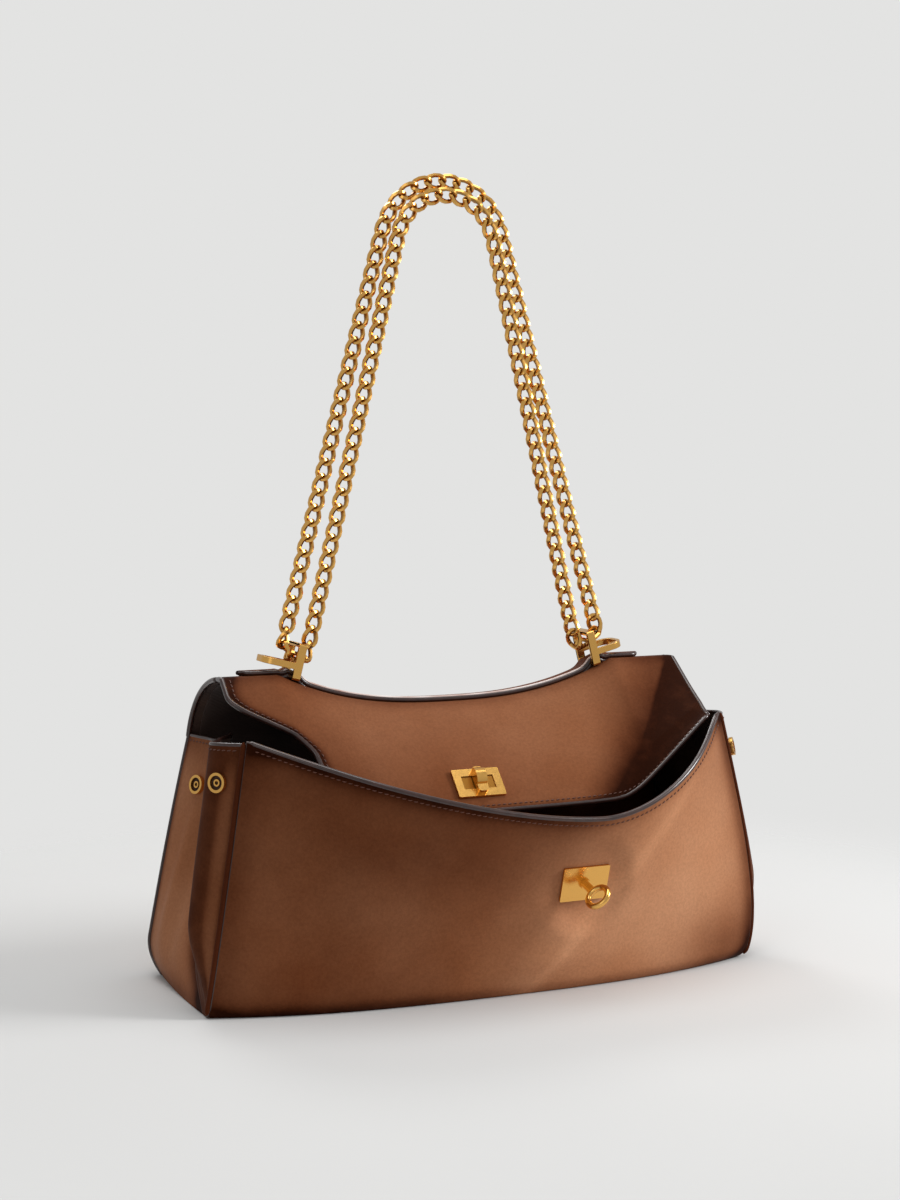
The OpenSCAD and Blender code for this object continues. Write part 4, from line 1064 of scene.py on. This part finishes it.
def build_metal():
    """Plates, ring, lock, anchors and snaps, each with its body and the width of its round."""
    for name, body, width in (
            ("ring_plate", "bag", 0.25), ("ring_backplate", "bag", 0.15), ("ring_eye", "ring", 0.2),
            ("lock_plate", "flap", 0.4), ("lock_base", "flap", 0.12), ("lock_backplate", "flap", 0.15),
            ("lock_knob", "lock_knob", 0.5), ("left_chain_anchor", "bag", 0.35),
            ("right_chain_anchor", "bag", 0.35), ("left_snap_sockets", "bag", 0.18),
            ("right_snap_sockets", "bag", 0.18), ("left_snap_caps", "bag", 0.18),
            ("right_snap_caps", "bag", 0.18)):
        piece = rounded_metal(name, body, width)
        if name.endswith("snap_sockets"):
            shade_snap_recesses(piece)


# ---- chain ----
WINDOW_RISE = LOOP_H - BAND_T - LINK_W * 0.674
ANCHOR_BASE_Z = float(ridge_z(np.array(ANCHOR_X))) + 3 * LAYER_GAP
ARCH_TOP_Z = CHAIN_TOP - ARCH_R
# Each link that turns in an anchor: its middle in link pitches from the window, and its lean and roll
TURN_SHARES = np.array([[0.043, 0.024], [-0.62, 0.345], [-1.001, 1.085], [0.736, 0.548], [0.736, 1.503]])
TURN_ANGLES = np.radians([[76.2, 53.9], [-45.2, -100.9], [1.2, 43.2], [4.7, 36.9], [1.7, 5.1]])
LINK_POINTS, LINK_SQUARE, HALF_TWIST = 16, 0.85, math.radians(45)
WIRE_SIDES, WIRE_R = 6, WIRE_D * 0.64  # over half the wire, because six flat sides look thinner
# How far the inner side of each link is painted towards the deep colour, as painted shade
HOLLOW_SHADE = 0.9


def link_rows(centre, axis, roll):
    """Centre lines of many curb links at once: a squared oval of wire, the power 0.85 of a cosine long
    and of a sine wide, turned a quarter along its length. With each come the outward and sideways
    vectors of the wire."""
    e2 = unit(np.cross([0.0, 1.0, 0.0], axis))
    e3 = np.cross(axis, e2)

    def line(q):
        """The wire's centre line at an angle round the oval."""
        s = np.sign(np.cos(q)) * np.abs(np.cos(q)) ** LINK_SQUARE
        w = np.sign(np.sin(q)) * np.abs(np.sin(q)) ** LINK_SQUARE
        phi = roll[:, None] + HALF_TWIST * s[None]
        lengthways = LINK_A * s[None, :, None] * axis[:, None]
        return (lengthways + (LINK_B * w[None] * np.cos(phi))[..., None] * e2[:, None]
                + (LINK_B * w[None] * np.sin(phi))[..., None] * e3[:, None])

    q = 2 * np.pi * np.arange(LINK_POINTS) / LINK_POINTS
    here = line(q)
    along = unit(line(q + 0.06) - line(q - 0.06))
    out = unit(here - along * (here * along).sum(-1, keepdims=True))
    return centre[:, None] + here, out, np.cross(along, out)


def strand(foot, radius, front):
    """Joints of one strand, evenly spaced: a straight leg from each anchor, tangent to an arch over the
    top. On the way up the strand moves forward by front along a quarter of a sine wave."""
    rise = ARCH_TOP_Z - foot[1]
    reach = math.hypot(foot[0], rise)
    lean = math.acos(radius / reach) - math.atan2(rise, -foot[0])
    leg = math.sqrt(reach ** 2 - radius ** 2)
    total = 2 * (leg + radius * (math.pi / 2 - lean))
    count = round(total / LINK_PITCH)
    s = np.arange(count + 1) * total / count
    m = np.minimum(s, total - s)
    turn = lean + (m - leg) / radius
    x = np.where(m < leg, foot[0] + m * math.sin(lean), -radius * np.cos(turn))
    z = np.where(m < leg, foot[1] + m * math.cos(lean), ARCH_TOP_Z + radius * np.sin(turn))
    x = np.where(s > total / 2, -x, x)
    climb = np.minimum(1, (z - foot[1]) / rise)
    return np.stack([x, STRAP_Y - front * np.sin(np.pi / 2 * climb), z], -1)


def turned_links():
    """Centres, axes and rolls of the links that turn at the left anchor, and their upper tips, where the
    strands go on."""
    c, s = math.cos(ANCHOR_TILT), math.sin(ANCHOR_TILT)

    def to_bag(p):
        """From the leaning anchor's own frame to the bag's."""
        return np.stack([p[..., 0] * c + p[..., 1] * s, -p[..., 0] * s + p[..., 1] * c], -1)

    local = TURN_SHARES * LINK_PITCH + [0, WINDOW_RISE]
    lean, roll = TURN_ANGLES.T
    ahead = np.stack([np.sin(lean), np.cos(lean)], -1)
    foot = [-ANCHOR_X, ANCHOR_BASE_Z]
    x, z = (to_bag(local) + foot).T
    axis_x, axis_z = to_bag(ahead).T
    tips = to_bag(local + ahead * LINK_PITCH / 2) + foot
    centre = np.stack([x, np.full(len(x), STRAP_Y), z], -1)
    return centre, np.stack([axis_x, np.zeros(len(x)), axis_z], -1), roll, tips


def wire_links(name, centre, axis, roll, *nodes):
    """Curb links as round wire, with painted shade on the inner side of each oval."""
    rows, out, side = link_rows(centre, axis, roll)
    angle = 2 * np.pi * (np.arange(WIRE_SIDES) + 0.5) / WIRE_SIDES
    inward = np.tile(np.clip(-np.cos(angle), 0, 1), rows.shape[:2] + (1,))
    piece = tubes(name, rows, out, side, np.full(rows.shape[:2], WIRE_R), WIRE_SIDES, [GOLD], closed=True,
                  attributes={"hollow": HOLLOW_SHADE * inward})
    finish_piece(piece, "chain", "brass_gold", *nodes)


def build_chain():
    """The four runs of the doubled chain and the links that turn in the anchors."""
    centre, axis, roll, tips = turned_links()
    for foot, radius, front, word in ((tips[2], ARCH_R, -STRAND_FRONT / 2, "outer"),
                                      (tips[4], ARCH_R - STRAND_IN, STRAND_FRONT / 2, "inner")):
        joints = strand(foot, radius, front)
        middle, along = (joints[1:] + joints[:-1]) / 2, unit(joints[1:] - joints[:-1])
        half = len(middle) // 2
        for end, run in (("left", slice(None, half)), ("right", slice(half, None))):
            wire_links(f"chain_{word}_{end}_links", middle[run], along[run], np.zeros(len(middle[run])),
                       f"chain_{word}_{end}")
    mirror = np.array([-1.0, 1.0, 1.0])
    wire_links("chain_turn_links_plated", np.concatenate([centre, centre * mirror]),
               np.concatenate([axis, axis * mirror]), np.concatenate([roll, -roll]), "chain_turn_links")


# ---- stage ----
FLOOR_ROWS, FLOOR_SPOKES = 24, 96
FLOOR_FROM_M, FLOOR_TO_M, FLOOR_DROP = 0.02, 1.35, 0.3
AIM_AT = Vector((0, 0, 0.15))
# Name, place and size in metres, and power in watts of each soft lamp
LAMPS = (("key", (1.8, -0.9, 1.1), 0.9, 36.0), ("top", (0.1, 0.0, 2.1), 1.5, 16.0),
         ("back", (-0.1, 1.3, 1.5), 0.7, 7.0), ("fill", (-1.4, -1.2, 1.0), 1.2, 3.0))


def studio_floor_paint():
    """Matt pale floor paint, which gives the bag's shadow and no gloss. It fades out between 0.24 and
    0.60 m from the middle, so that no horizon shows."""
    material, tree, where = new_material("pale_studio_floor")
    far = node(tree, "ShaderNodeVectorMath", {0: where}, "Value", operation="LENGTH")
    fade = node(tree, "ShaderNodeMapRange", {"Value": far, "From Min": 0.24, "From Max": 0.60}, "Result",
                interpolation_type="SMOOTHERSTEP")
    paint = node(tree, "ShaderNodeBsdfDiffuse", {"Color": srgb("#D9D9D8")})
    clear = node(tree, "ShaderNodeBsdfTransparent")
    shader = node(tree, "ShaderNodeMixShader", {0: fade, 1: paint, 2: clear})
    node(tree, "ShaderNodeOutputMaterial", {"Surface": shader})
    return material


def build_floor():
    """A round floor just under the bag: rings of points round its middle."""
    angle = 2 * np.pi * np.arange(FLOOR_SPOKES) / FLOOR_SPOKES
    spokes = np.stack([np.cos(angle), np.sin(angle), np.zeros(FLOOR_SPOKES)], -1)
    reach = np.linspace(FLOOR_FROM_M, FLOOR_TO_M, FLOOR_ROWS) / MM
    points = np.concatenate([[[0, 0, 0]], (reach[:, None, None] * spokes).reshape(-1, 3)])
    row, at = np.meshgrid(np.arange(FLOOR_ROWS - 1) * FLOOR_SPOKES, np.arange(FLOOR_SPOKES), indexing="ij")
    beside = (at + 1) % FLOOR_SPOKES
    quads = 1 + np.stack([row + at, row + FLOOR_SPOKES + at, row + FLOOR_SPOKES + beside, row + beside], -1)
    fan = np.stack([0 * at[0], 1 + at[0], 1 + beside[0]], -1)
    floor = add_mesh("floor", points - [0, 0, FLOOR_DROP], quads.reshape(-1, 4).tolist() + fan.tolist(),
                     [studio_floor_paint()])


def build_world():
    """A pale room: the camera sees it as the background, and the bag gets a dim, even light from it,
    and metal a little more."""
    world = bpy.data.worlds.new("studio")
    bpy.context.scene.world = world
    world.use_nodes = True
    tree = world.node_tree
    tree.nodes.clear()
    camera_ray = node(tree, "ShaderNodeLightPath", out="Is Camera Ray")
    clear_ray = node(tree, "ShaderNodeLightPath", out="Is Transmission Ray")
    glossy_ray = node(tree, "ShaderNodeLightPath", out="Is Glossy Ray")
    seen = node(tree, "ShaderNodeMath", {0: camera_ray, 1: clear_ray}, operation="MAXIMUM")
    strength = node(tree, "ShaderNodeMath", {0: glossy_ray, 1: 0.14, 2: 0.36}, operation="MULTIPLY_ADD")
    light = node(tree, "ShaderNodeBackground", {"Color": srgb("#FFFFFF"), "Strength": strength})
    shown = node(tree, "ShaderNodeBackground", {"Color": srgb("#E3E3E2"), "Strength": 1.0})
    both = node(tree, "ShaderNodeMixShader", {0: seen, 1: light, 2: shown})
    node(tree, "ShaderNodeOutputWorld", {"Surface": both})


def build_lamps():
    """Soft round studio lamps, all aimed at the bag."""
    for name, place, size, power in LAMPS:
        lamp = bpy.data.lights.new(name, "AREA")
        lamp.shape = "DISK"
        lamp.size = size
        lamp.energy = power
        holder = bpy.data.objects.new(name, lamp)
        holder.location = place
        holder.rotation_euler = (AIM_AT - Vector(place)).to_track_quat("-Z", "Y").to_euler()
        bpy.context.scene.collection.objects.link(holder)


build_front()
build_gussets()
build_rear()
build_flap()
build_strap()
build_base()
build_bindings()
build_metal()
build_chain()
build_floor()
build_world()
build_lamps()
bpy.context.scene.view_settings.view_transform = "Standard"
